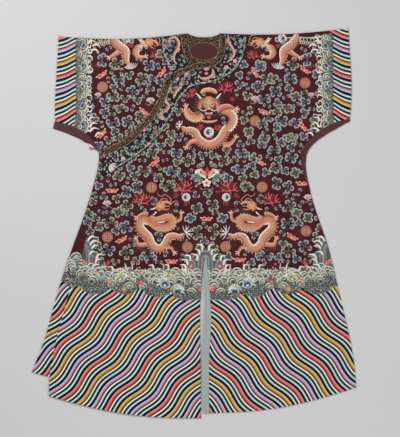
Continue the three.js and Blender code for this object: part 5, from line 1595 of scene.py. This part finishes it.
def rock(work, x, top, half, base, tones, thick=2.0):
    """Nested arches from the base up to a blunt peak, one inside the other."""
    count = int(half / thick + 1)
    for k in range(count):
        h, t = half - k * thick, top + k * thick * 1.25
        h = max(h, 0.4)
        work.ribbon([(x - h, base), (x - h * 0.96, (base + t) / 2), (x - h * 0.62, t + h * 0.24), (x, t),
                     (x + h * 0.62, t + h * 0.24), (x + h * 0.96, (base + t) / 2), (x + h, base)],
                    thick * 1.12, tones[k % len(tones)], high=0.6, lift=0.45 - 0.02 * k)


ROCK = [dyes((22, 58, 54), (60, 100, 92), (24, 54, 52)), dyes((150, 158, 136), (116, 136, 116), (70, 96, 84)),
        dyes((84, 58, 74), (138, 104, 120), (88, 58, 70)),
        dyes((176, 182, 172), (104, 128, 134), (48, 70, 82)),
        dyes((160, 112, 114), (146, 84, 92), (96, 48, 60))]
DEEP = dyes((84, 98, 88), (64, 78, 72), (50, 64, 62))
TOP = np.array([(58, 258), (70, 258), (78, 260), (90, 265), (100, 268), (112, 270), (124, 269), (136, 272),
                (150, 271), (160, 271), (172, 271), (184, 270), (196, 270), (206, 271)])
FOOT = np.array([(58, 279), (64, 283), (70, 287), (74, 288), (78, 286), (83, 291), (90, 295), (96, 295.4),
                 (104, 292.6), (111, 288.4), (116, 292.6), (122, 295.2), (129, 295.2), (136, 291),
                 (140, 287.4), (146, 293.6), (153, 297.6), (161, 298.2), (168, 295.4), (171, 293), (175, 298),
                 (182, 300.8), (192, 301.2), (206, 299)])
sea = Needlework()
sea.field(TOP, FOOT - [0, 0.8], DEEP)
foam(sea, TOP + [0, 3], FOOT)
for row, (down, r) in enumerate(((2.0, 4.2), (6.6, 4.8), (11.4, 4.0))):
    for x in np.arange(60 + row * 2.9, 206, 7.6):
        spot = x + rng.uniform(-1.2, 1.2)
        y = np.interp(spot, *TOP.T) + down + rng.uniform(-1.2, 1.2)
        if y < np.interp(spot, *FOOT.T) - 8 + row:
            breaker(sea, spot, y, r * rng.uniform(0.7, 1.25), rng.choice((-1, 1)), "cdtdct"[rng.integers(6)],
                    1 + rng.integers(3), rng.uniform(-0.7, 0.7))
rock(sea, 84, 238, 10.4, 268, ROCK)
rock(sea, 94, 252, 4.4, 270, ROCK[1:], thick=1.6)
ROCK_CRESTS = [((97.4, 237.5), (87.5, 241)), ((100, 241.8), (89.8, 245)), ((99, 246), (91.7, 248.6)),
               ((96, 251.7), (89.4, 255)), ((104, 254.5), (96, 258.6)), ((102, 259.3), (95, 263)),
               ((100, 264.4), (92, 268.7))]
crests(sea, ROCK_CRESTS, bend=0.28, width=2.3, lift=0.9)
sea.ribbon([(108.6, 260), (108, 264), (107, 268.4), (106.6, 271)], [1.6, 2.2, 1.4], RED, high=0.6, lift=0.8)
sea.ribbon([(108, 264), (110.4, 262), (111.4, 259.6)], [1.2, 0.5], RED, high=0.5, lift=0.8)
# right, down, radius, palette, the way it leans
BREAKERS = [
    (76, 258, 5.4, "t", 1), (71, 267, 4.6, "d", 1), (84, 271, 5, "c", 1), (100.4, 274, 7.4, "c", 1),
    (91, 281, 4.6, "d", -1), (119.7, 275.6, 7.3, "g", 1), (110, 284.4, 4.2, "c", -1),
    (132.6, 277.4, 5, "c", -1), (129, 286.6, 4.4, "c", 1), (145.6, 275.4, 5.2, "t", 1),
    (141.4, 287, 3.8, "c", -1), (154.4, 282, 4.4, "d", 1), (165.4, 281.6, 7.5, "b", -1),
    (173.6, 273.4, 5.4, "c", -1), (177.4, 289.8, 5.6, "n", 1), (187, 279.6, 6.2, "c", -1),
    (197, 286, 5.2, "c", -1), (199, 276.4, 4.6, "c", 1), (157, 272.8, 4.2, "c", -1), (190, 292.4, 4, "d", -1)]
for x, y, r, kind, lean in BREAKERS:
    if kind in "bgn":
        wave_head(sea, x, y + 0.2 * r, r * 0.8, kind, lean)
        for turn in (-0.9, -0.45, 0.0, 0.45, 0.9):
            tip = np.array([np.sin(lean + turn), -np.cos(lean + turn)]) * r * 1.35
            root = np.array([np.sin(lean + turn * 0.8), -np.cos(lean + turn * 0.8)]) * r * 0.55
            sea.ribbon([root + [x, y + 0.2 * r], (root + tip) / 2 + [x, y + 0.1 * r], tip + [x, y + 0.2 * r]],
                       [0.9, 1.3, 0.9], dyes((214, 220, 206), (236, 236, 220), (150, 168, 160)), high=0.4,
                       lift=0.6)
    breaker(sea, x + 0.2 * r, y - 0.1 * r, r * 1.05, lean, kind, 1 if kind in "bgn" else 3)
# right, down, radius, palette
JEWELS = [
    (109.8, 281.6, 3, dyes((236, 170, 130), (220, 130, 100), (150, 84, 70))),
    (141, 281.8, 2.8, dyes((232, 130, 124), (210, 90, 92), (130, 50, 56))),
    (124, 289, 3.4, dyes((222, 186, 130), (180, 140, 90), (110, 96, 70))), (130, 270, 2.6, FOAM[2]),
    (200, 289.8, 2.6, dyes((236, 150, 140), (206, 90, 92), (120, 50, 56))),
    (84, 262, 2.6, dyes((236, 150, 120), (200, 96, 84), (120, 60, 56))),
    (92, 260, 2.4, dyes((210, 96, 110), (170, 60, 76), (96, 34, 44)))]
for x, y, r, palette in JEWELS:
    sea.disc(x, y, r, palette, high=0.6, lift=0.9, spokes=14)
# right, down, and the tip from there
HOOKS = [
    (126, 268.6, 4.6, -5.4), (121.6, 267.6, 2.4, -4.6), (130.6, 270.4, 5.4, -3.4), (158, 268.4, 4.4, -4.4),
    (163, 270, 5.4, -2.8), (153, 268.6, -4, -3.2), (182, 272, 4.4, -5), (177.6, 269.4, 3.2, -4.8),
    (141, 272.4, 3, -4.2), (149.6, 270.6, 3.6, -3.8), (112.6, 270.4, -4.4, -3.2), (168, 268.4, -3.6, -3.4)]
for x, y, dx, dy in HOOKS:
    hook(sea, x, y + 1, 1.25 * dx, 1.3 * dy, bend=-0.42, width=2.7, palette=PALE, lift=0.8)
    hook(sea, x + 0.4 * dx, y + 1, 0.9 * dx, 0.7 * dy, bend=-0.42, width=1.6, palette=SHADE, lift=0.9)
for x, y in ((137, 264), (146.6, 262.6), (139.6, 267.6), (168.6, 264.4), (152, 265.6), (162.6, 264.4),
             (133.6, 262.2)):
    sea.disc(x, y, 1.2, dyes((236, 176, 150), (206, 112, 104), (130, 52, 56)), high=0.4, lift=0.3, spokes=8,
             rings=3)
print("left sea:", len(sea.patches), "shapes")
sea.mirror(HEM_AXIS)
middle = Needlework()
middle.field([(193, 262), (205.5, 262), (218, 262)], [(193, 276), (205.5, 276), (218, 276)],
             dyes((58, 84, 80), (76, 98, 92)))
ROCK_MIDDLE = 205.4
MIDDLE_CRESTS = [((195.7, 244), (202, 251)), ((194.8, 249), (198.9, 255)), ((191, 253.6), (197, 261)),
                 ((184, 255.6), (190.6, 260.6)), ((181, 259.5), (187.4, 265)), ((179.6, 264.6), (185.6, 270)),
                 ((179.6, 270), (186.4, 274.6))]
rock(middle, ROCK_MIDDLE, 249, 9, 276, ROCK)
for side in (-1, 1):
    beside = ROCK_MIDDLE + side * 14.2
    rock(middle, beside, 259, 5, 273, ROCK[2:] + ROCK[:2], thick=1.7)
    middle.disc(beside, 266.4, (1.6, 2.4), dyes((240, 170, 160), (206, 90, 96)), high=0.5, lift=0.9)
    for tip, root in MIDDLE_CRESTS:
        hook(middle, ROCK_MIDDLE + side * (ROCK_MIDDLE - root[0]), root[1], side * (root[0] - tip[0]),
             tip[1] - root[1], bend=0.34 * side, width=2.4, lift=0.95)
middle.disc(210.6, 287.6, 2.8, dyes((240, 210, 200), (196, 84, 96), (226, 170, 160)), high=0.5, lift=1.0,
            spokes=14)

# The sleeve ends: local squares run down the sleeve, and up means towards the body.
SLEEVE_TOP = np.array([(34, -11), (44, -12), (56, -13), (70, -12.4), (84, -13), (98, -12), (112, -13),
                       (126, -14), (136, -14)])
SLEEVE_FOOT = np.array([(34, 0), (40, -0.6), (44, 0.4), (52, -0.8), (56, 0.6), (64, -0.6), (68, 0.6),
                        (76, -0.8), (80, 0.6), (88, -0.6), (92, 0.4), (100, -0.8), (104, 0.6), (112, -0.4),
                        (118, 0.8), (136, 0.6)])


def sleeve_end(work):
    """Foam, breakers and crests between the two lines across a sleeve."""
    work.field(SLEEVE_TOP + [0, 3], SLEEVE_FOOT, dyes((104, 112, 96), (74, 88, 78), (60, 74, 70)))
    foam(work, SLEEVE_TOP + [0, 6.5], SLEEVE_FOOT, pitch=2.1, size=1.2)
    for k, a in enumerate(np.arange(37, 134, 4.9)):
        big = k % 4 == 2
        breaker(work, a + rng.uniform(-1.2, 1.2), -7.4 - 2.6 * (k % 2) + rng.uniform(-1, 1),
                4.6 if big else rng.uniform(2.6, 4.2), (1, -1)[k // 2 % 2],
                "n" if big else "cdgt"[rng.integers(4)], 1 + rng.integers(3), rng.uniform(-0.8, 0.8))
        hook(work, a, -11.4, (3.2, -2.8)[k // 2 % 2] * rng.uniform(0.7, 1.2), -rng.uniform(3.4, 6.4),
             bend=(0.4, -0.4)[k // 2 % 2], width=rng.uniform(1.2, 1.8), lift=0.6)
        if k % 5 == 1:
            work.disc(a + 1.6, -15.4, 1.5, dyes((232, 186, 170), (204, 104, 96), (110, 46, 48)), high=0.5,
                      lift=0.4, spokes=9)
        if k % 3 == 0:
            breaker(work, a + 2, -3.8, 2.6, (1, -1)[k % 2], "cdt"[rng.integers(3)], 2, rng.uniform(-0.6, 0.6))


sleeve_sea = Needlework()
sleeve_sea.draw_at(sleeve_end, 75.6, 0.0, np.pi / 2)
SLEEVE_CRESTS = [((101, 48), (92, 46)), ((99, 54), (91, 50)), ((96, 42), (88, 44)), ((100, 129.6), (90, 132)),
                 ((98, 124), (90, 126)), ((96, 118), (88.6, 121)), ((104, 134), (95, 136.6)),
                 ((98, 39), (90, 40))]
crests(sleeve_sea, SLEEVE_CRESTS, bend=0.3, width=1.9, lift=0.8)
for k in range(9):
    x = 92 + 3.4 * k
    hook(sleeve_sea, x, 37.4, 2.6, 4.4, bend=0.45, width=1.4,
         palette=dyes((120, 128, 112), (206, 204, 180), (150, 154, 136)), lift=0.3)
sleeve_sea.mirror()
sea.make("sea_hem", FRONT, FLOSS)
middle.make("rock_middle", FRONT, FLOSS)
sleeve_sea.make("sea_sleeves", FRONT, FLOSS)

# %% [markdown]
# ## Collar embroidery and gold piping
# On the black band run small dragons, clouds and a border of pale waves. Gold cord edges the brocade
# binding on both sides.


# %% Collar
def to_chart(points):
    """Robe millimetres back to chart squares."""
    return np.column_stack([points[:, 0] / SQUARE + 204, 35 - points[:, 1] / SQUARE])


def along_band(table, share, places):
    """Chart squares along a collar table's band, at a share of the way from the binding to the outer edge."""
    seam = smooth_line(table[:, 2:4], places)
    return to_chart(seam + (smooth_line(table[:, 4:6], places) - seam) * share)


FOAMY = [dyes((44, 62, 58), (160, 168, 150), (88, 104, 92)),
         dyes((88, 96, 86), (206, 204, 188), (114, 122, 108)),
         dyes((42, 72, 72), (134, 158, 148), (58, 86, 80)), dyes((42, 56, 52), (106, 118, 104), (36, 50, 46))]
SMALL_BODY = dyes((226, 206, 186), (196, 148, 126), (184, 130, 110), (104, 54, 52))


def faded_head(work):
    """A small head in quieter dyes."""
    first = len(work.patches)
    profile_head(work)
    work.patches[first:] = [(xy, dome, 0.5 * colour + 0.3 * colour.mean(axis=-1, keepdims=True), run, cross)
                            for xy, dome, colour, run, cross in work.patches[first:]]


# First the border of waves along the band's outer edge, with small crests over it.
collar, under_collar = Needlework(), Needlework()
for work, table, cells in ((collar, COLLAR, 76), (under_collar, UNDER_COLLAR, 18)):
    last = len(table) - (1.5 if table is COLLAR else 1.05)
    for place in np.arange(0, last - 1.6 * last / cells, 0.45 * last / cells):
        stroke = along_band(table, rng.uniform(0.86, 0.93), place + np.array([0.0, 0.5, 1.1]) * last / cells)
        stroke[1] += rng.uniform(-0.4, 0.4, 2)
        work.ribbon(stroke, [0.6, rng.uniform(1.3, 2.1), 0.6], FOAMY[rng.integers(4)], high=0.4,
                    lift=0.1 + rng.uniform(0, 0.25), step=0.9, across=5)
    for k in range(cells // 2):
        place = (k + rng.uniform(0.2, 0.7)) / (cells // 2) * (last - 0.3)
        here = along_band(table, 0.86, np.array([place]))[0]
        there = along_band(table, rng.uniform(0.6, 0.76), np.array([place + rng.uniform(0.1, 0.24)]))[0]
        hook(work, *here, *(there - here), bend=rng.choice((-0.5, 0.5)), width=rng.uniform(0.7, 1.1),
             palette=dyes((110, 134, 120), (200, 206, 186), (84, 110, 100)), lift=0.3)
# right, down, palette, half width, half height, fans, size of a fan
COLLAR_CLOUDS = [
    (153.9, 124.3, "g", 3.2, 2.8, 5, 1.9), (148.3, 133.6, "b", 3.4, 3, 5, 2.0),
    (138.5, 143.6, "t", 3.4, 2.8, 5, 2.0), (130.5, 150, "b", 3.6, 3, 5, 2.1),
    (114.6, 156, "b", 3.6, 3.4, 5, 2.1), (142, 137, "s", 1.8, 1.6, 4, 1.4),
    (183.6, 82.4, "t", 2.6, 2.4, 5, 1.8), (192, 72, "g", 2.6, 2.2, 5, 1.7), (221.6, 71, "g", 3, 2.6, 5, 1.9),
    (176, 84.6, "b", 2, 1.8, 4, 1.5), (238.6, 44, "b", 2.4, 3, 5, 1.8), (228, 55, "s", 1.8, 2.4, 4, 1.5),
    (166.4, 121.6, "s", 2, 2, 4, 1.6), (160, 112, "g", 1.8, 2.6, 4, 1.6), (170, 102, "g", 2, 2.4, 4, 1.6),
    (123.6, 153.4, "g", 2.6, 2, 5, 1.6), (134.6, 156, "s", 2, 1.6, 4, 1.4),
    (145.6, 143.4, "g", 2.4, 2, 4, 1.6), (187, 77.6, "b", 1.8, 1.6, 4, 1.4),
    (199.6, 70.6, "s", 1.8, 1.6, 4, 1.4), (237, 38, "g", 2.4, 2, 5, 1.6), (238.4, 51, "t", 2, 2, 4, 1.5),
    (229, 49, "g", 1.4, 2, 4, 1.3), (220, 63.6, "s", 2, 1.6, 4, 1.3), (233, 36.8, "s", 1.6, 1.4, 4, 1.2),
    (116, 150.6, "s", 2, 1.6, 4, 1.4), (126, 145, "t", 2, 1.6, 4, 1.4), (149, 128, "s", 1.6, 1.4, 4, 1.2),
    (157, 119, "b", 2, 2, 5, 1.5), (173.6, 90, "g", 1.4, 1.6, 4, 1.2), (194, 76.6, "t", 1.6, 1.4, 4, 1.2),
    (217, 75.4, "b", 2, 1.6, 4, 1.3)]
for x, y, family, *rest in COLLAR_CLOUDS:
    cloud(collar, x, y, family, *rest, turn=rng.uniform(0, 6.28))
SMALL_DRAGONS = [
    [(228, 37), (228.8, 43), (232.4, 48.6), (233.8, 53.6), (231, 58.6), (226.6, 62.6)],
    [(199.8, 78), (204.6, 79.2), (210, 77.4), (213.8, 73), (212.4, 68.4)],
    [(182, 86), (177.6, 89.6), (174.8, 94), (173.4, 98.6)],
    [(168.6, 90.4), (165.6, 96), (165.4, 101.6), (168.6, 105.6), (166.2, 110.4), (161.4, 113)]]
for path in SMALL_DRAGONS:
    collar.ribbon(path, [1.6, 2.8, 3.0, 2.6, 1.2], SMALL_BODY, high=0.6, lift=0.35)
    for place, aim in ((1, -0.6), (len(path) - 2, 2.4)):
        claws(collar, *path[place], aim, reach=2.6, count=4)
SMALL_MIDDLE = 206.4  # the upright through the small facing head
collar.disc(SMALL_MIDDLE, 68.2, (3.4, 3.0), dyes((232, 184, 150), (214, 144, 120), (140, 70, 66)), high=0.7,
            lift=0.5)
collar.disc(SMALL_MIDDLE, 73.6, (2.2, 1.9), dyes((246, 226, 216), (196, 96, 96), (120, 40, 48)), high=0.6,
            lift=0.6)
for side in (-1, 1):
    collar.disc(SMALL_MIDDLE + side * 1.5, 69.2, 0.8, DARK + WHITE[:1], high=0.4, lift=1.0, spokes=8, rings=3)
    collar.ribbon([(SMALL_MIDDLE + side * 2.4, 66), (SMALL_MIDDLE + side * 4, 64.4)], [0.9, 0.3], WHITE,
                  high=0.4, lift=0.8, along=True)
    claws(collar, SMALL_MIDDLE + side * 6.6, 76.4, np.pi / 2 - side * 0.9, reach=2.6, count=4)
for x, y, angle in ((227.6, 40.4, 2.6), (181.4, 84.4, -0.6), (170.4, 88.6, -0.9), (161, 114, 2.4)):
    collar.draw_at(faded_head, x, y, angle, 0.42)
# Flowers of five petals, then two round charms, then nested arcs at the band's lower end.
for x, y in ((123.1, 158.6), (162.4, 118), (177, 78.6), (226.4, 67.4), (144, 129.6), (186.6, 74.8),
             (235, 61)):
    for a in np.linspace(0, 5.03, 5):
        collar.disc(x + 1.3 * np.cos(a), y + 1.3 * np.sin(a), 0.95,
                    dyes((190, 60, 90), (224, 150, 160), (236, 206, 200)), high=0.4, lift=0.3, spokes=8,
                    rings=3)
for x, y, r in ((155.4, 132.2, 3.2), (189, 75.6, 2.6)):
    collar.disc(x, y, r, dyes((170, 130, 116), (150, 104, 96), (84, 58, 60)), high=0.4, lift=0.3, spokes=14)
    collar.ribbon([(x - 0.6 * r, y), (x + 0.6 * r, y)], 0.4, DARK, high=0.2, lift=0.6)
    collar.ribbon([(x, y - 0.6 * r), (x, y + 0.6 * r)], 0.4, DARK, high=0.2, lift=0.6)
for k in range(3):
    arc = oval(114.6, 168.2, 5.4 - 1.7 * k, 4.8 - 1.5 * k, np.linspace(1.6, 5.2, 9))
    collar.ribbon(arc, [0.6, 1.3, 1.2, 0.5], CREAM, high=0.5, lift=0.5)
under_collar.ribbon([(168.4, 39.8), (174.4, 37.6), (178.4, 42.2), (177.2, 49), (174, 54.4), (173.8, 60.6),
                     (177, 64.6)], [1.6, 2.8, 3.2, 3, 2.6, 1.2], SMALL_BODY, high=0.6, lift=0.35)
for x, y, aim in ((177.6, 50, -0.3), (173.6, 58, 2.6)):
    claws(under_collar, x, y, aim, reach=2.8, count=4)
under_collar.draw_at(faded_head, 169.4, 41, 3.4, 0.42)
under_collar.disc(165.8, 46.4, 3.2, dyes((150, 128, 112), (110, 88, 88), (60, 54, 64)), high=0.5, lift=0.3)
for x, y, family in ((170, 48.4, "t"), (168.6, 56, "g"), (180.6, 57.4, "s"), (172.6, 67, "g"),
                     (182.4, 63.4, "b"), (172, 42.6, "b")):
    cloud(under_collar, x, y, family, 1.8, 1.8, 4, 1.5, turn=rng.uniform(0, 6.28))
# Small discs and clouds fill what is left of both bands.
for work, low, high in ((collar, (105, 36), (246, 172)), (under_collar, (160, 36), (186, 74))):
    band_outline = outline_of(COLLAR if work is collar else UNDER_COLLAR, sides=(2, 4))
    for x, y in gaps(covered([work], 0.3, every=3), low, high, 1.5)[0]:
        if inside(chart(np.array([[x, y]])), band_outline)[0]:
            if rng.uniform() < 0.45:
                work.disc(x, y, rng.uniform(0.9, 1.4), dyes((190, 120, 130), (214, 170, 166), (120, 84, 86)),
                          high=0.35, lift=0.1, spokes=8, rings=3)
            else:
                cloud(work, x, y, "bgts"[rng.integers(4)], 1.0, 0.9, 4, 0.9, rng.uniform(0, 6.28))
BAND_FACE, UNDER_FACE = lie_on(ON_FRONT, BAND), lie_on(ON_INNER, BAND)
collar.make("collar_stitching", [([outline_of(COLLAR, sides=(2, 4))], BAND_FACE, [])], FLOSS)
under_collar.make("under_collar_stitching",
                  [([outline_of(UNDER_COLLAR, sides=(2, 4))], UNDER_FACE, [COLLAR_OUTLINE])], FLOSS)
# collar table, the column its line starts at, the cloth's face, first and last place
PIPED = [(COLLAR, 0, ON_FRONT, 0, 16), (COLLAR, 2, ON_FRONT, 0, 16), (UNDER_COLLAR, 0, ON_INNER, 0, 3.4),
         (UNDER_COLLAR, 2, ON_INNER, 0, 3.4)]
for k, (table, column, face, first, last) in enumerate(PIPED):
    places = np.linspace(first, last, 150 if table is COLLAR else 50)
    line = smooth_line(table[:, column:column + 2], places)
    inward = smooth_line(table[:, 2:4], places) - smooth_line(table[:, :2], places)
    line = line + inward / np.linalg.norm(inward, axis=1, keepdims=True) * (0.9 if column == 0 else 0.0)
    height = face(line[:, 0], line[:, 1]) + (BINDING - 0.25 if column == 0 else BINDING)
    tube(f"gold_piping_{k + 1}", np.column_stack([line, height]), 0.95, GOLD_CORD, sides=8)
rim = oval(0, NECK_MIDDLE, 51.2, 31.6, turns(72))
tube("gold_piping_5", np.column_stack([rim, np.full(len(rim), 4.0)]), 0.7, GOLD_CORD, sides=8, closed=True)

# %% [markdown]
# ## The back
# The back's embroidery lies under the robe, flattened between the cloth and the table. It repeats the front's
# dragons about the centre-back seam, with plainer clouds and a plainer sea.

# %% Back
def moved(patches, dx):
    """The same shapes, dx squares to the right."""
    return [(xy + [dx, 0.0], *rest) for xy, *rest in patches]


BACK = [([outline_of(LEFT_BACK, [2, 10], [4]), outline_of(RIGHT_BACK, [2, 10], [4])], FACE, [])]
back_dragons, back_clouds, back_sea = Needlework(), Needlework(), Needlework()
back_dragons.patches = moved(chest.patches, -4.5) + moved(hem_dragon.patches, -1.7) + shoulders.patches
for x, y, family, *rest in LEFT_CLOUDS + LEFT_HEM_CLOUDS + MIDDLE_CLOUDS:
    tones = FAMILIES[family]
    for a in np.linspace(0, 2 * np.pi, 5)[1:] + rng.uniform(0, 1.5):
        back_clouds.disc(x + 3.4 * np.cos(a), y + 2.6 * np.sin(a), (1.7, 2.3), tones, core=(-0.9, 0), turn=a,
                         spokes=9, rings=5)
back_clouds.mirror()
back_sea.field(TOP, FOOT - [0, 0.8], DEEP)
foam(back_sea, TOP + [0, 10], FOOT, pitch=3.6, size=2.1)
for row in range(2):
    for x in np.arange(60 + 4 * row, 206, 8.0):
        y = np.interp(x, *TOP.T) + 2 + 5.4 * row
        breaker(back_sea, x, y, 4.6, (1, -1)[row], "cdt"[rng.integers(3)], 2)
back_sea.mirror()
back_sea.patches += sleeve_sea.patches
back_dragons.make("back_dragons", BACK, SCALES, below=0.5)
back_clouds.make("back_clouds", BACK, FLOSS, below=0.5)
back_sea.make("back_sea", BACK, FLOSS, below=0.5)

# %% [markdown]
# ## Cuts
# Each cloth's flat size before it was laid out, width by length in metres, with its flat area, what it lies
# on and the stitching that goes with it. The body lengths run from the front hem over the shoulder to the
# back hem.

# %% Cuts
# name, how it is held, width and length, flat area where it is known, what it lies on, its stitching
CUTS = [
    ("left_body_cloth", "folded", (0.56, 2.76), 1.28, [],
     ["clouds_left_sleeve", "clouds_left_front", "dragon_chest", "back_clouds"]),
    ("right_body_cloth", "folded", (0.63, 2.70), 1.26, [],
     ["clouds_right_sleeve", "dragons_shoulder", "back_sea", "back_dragons"]),
    ("front_overlap_cloth", "laid", (0.57, 1.30), 0.51, ["right_body_cloth"],
     ["clouds_right_front", "clouds_chest", "dragons_hem"]),
    ("left_strip_cloth", "laid", (0.033, 0.31), None, ["left_body_cloth"], []),
    ("right_strip_cloth", "laid", (0.034, 0.21), None, ["right_body_cloth"], []),
    ("collar_band_cloth", "laid", (0.10, 0.80), None, ["front_overlap_cloth", "left_body_cloth"],
     ["collar_stitching"]),
    ("collar_binding_cloth", "laid", (0.028, 0.78), None, ["front_overlap_cloth", "left_body_cloth"],
     ["gold_piping_1", "gold_piping_2"]),
    ("under_band_cloth", "laid", (0.09, 0.20), None, ["right_body_cloth"], ["under_collar_stitching"]),
    ("under_binding_cloth", "laid", (0.029, 0.14), None, ["right_body_cloth"],
     ["gold_piping_3", "gold_piping_4"]),
    ("slit_facing_cloth", "laid", (0.03, 0.58), None, ["left_body_cloth"], []),
    ("neck_lining_cloth", "laid", (0.112, 0.083), None, ["left_body_cloth", "right_body_cloth"], []),
    ("neck_facing_cloth", "laid", (0.114, 0.096), None, ["neck_lining_cloth"], ["gold_piping_5"])]
for name, held, flat, area, under, stitching in CUTS:
    piece = bpy.data.objects[name]
    one_side = sum(p.area for p in piece.data.polygons) / 2
    share = one_side / (flat[0] * flat[1])
    print(f"{name}: {flat[0]} by {flat[1]} m, one side {one_side:.4f} m2, share {share:.2f}")
    area or round(min(share, 1.0) * flat[0] * flat[1], 6)

# %% [markdown]
# ## Table, light and camera
# The robe lies on a plain pale surface under soft light, and the camera looks straight down on it. A long
# lens far away keeps the hem and the shoulders at one scale.


# %% Stage, light and camera
CAMERA_HIGH, FRAMED = 12.0, 1.46  # metres: the camera's height, and the width that its picture takes in


def floor_and_camera():
    """A pale floor just under the robe, three soft lights, and a camera that frames the whole robe."""
    n = Nodes("pale floor", roughness=0.8)
    n.skin.inputs["Base Color"].default_value = (0.62, 0.61, 0.6, 1)
    mesh = bpy.data.meshes.new("floor")
    mesh.from_pydata([(-4, -4, -0.0004), (4, -4, -0.0004), (4, 4, -0.0004), (-4, 4, -0.0004)], [],
                     [(0, 1, 2, 3)])
    mesh.materials.append(n.material)
    floor = bpy.data.objects.new("floor", mesh)
    bpy.context.scene.collection.objects.link(floor)
    floor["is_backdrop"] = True
    for name, place, size, watts in (("key", (-1.3, 1.6, 2.6), 1.6, 66), ("fill", (1.9, 0.2, 2.4), 2.2, 24),
                                     ("low", (0.2, -2.2, 1.6), 2.0, 20)):
        light = bpy.data.lights.new(name, "AREA")
        light.size, light.energy = size, watts
        lamp = bpy.data.objects.new(name, light)
        lamp.location = place
        lamp.rotation_euler = (-Vector(place)).to_track_quat("-Z", "Y").to_euler()
        bpy.context.scene.collection.objects.link(lamp)
        lamp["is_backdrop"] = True
    world = bpy.data.worlds.new("soft room")
    world.use_nodes = True
    world.node_tree.nodes["Background"].inputs["Color"].default_value = (0.9, 0.93, 1.0, 1)
    world.node_tree.nodes["Background"].inputs["Strength"].default_value = 0.28
    bpy.context.scene.world = world
    bpy.context.scene.view_settings.view_transform = "Standard"
    lens = bpy.data.cameras.new("camera")
    lens.sensor_fit, lens.sensor_width = "HORIZONTAL", 36
    lens.lens, lens.clip_end = 36 * CAMERA_HIGH / FRAMED, 40
    camera = bpy.data.objects.new("camera", lens)
    camera.location = (0.0219, 0.0173, CAMERA_HIGH)
    bpy.context.scene.collection.objects.link(camera)
    bpy.context.scene.camera = camera


floor_and_camera()

# %% [markdown]
# ## The finished size
# The size of the finished model is printed.

# %% Finish
bpy.context.view_layer.update()
low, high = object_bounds()
print("visual size, m:", [round(high[k] - low[k], 4) for k in range(3)])
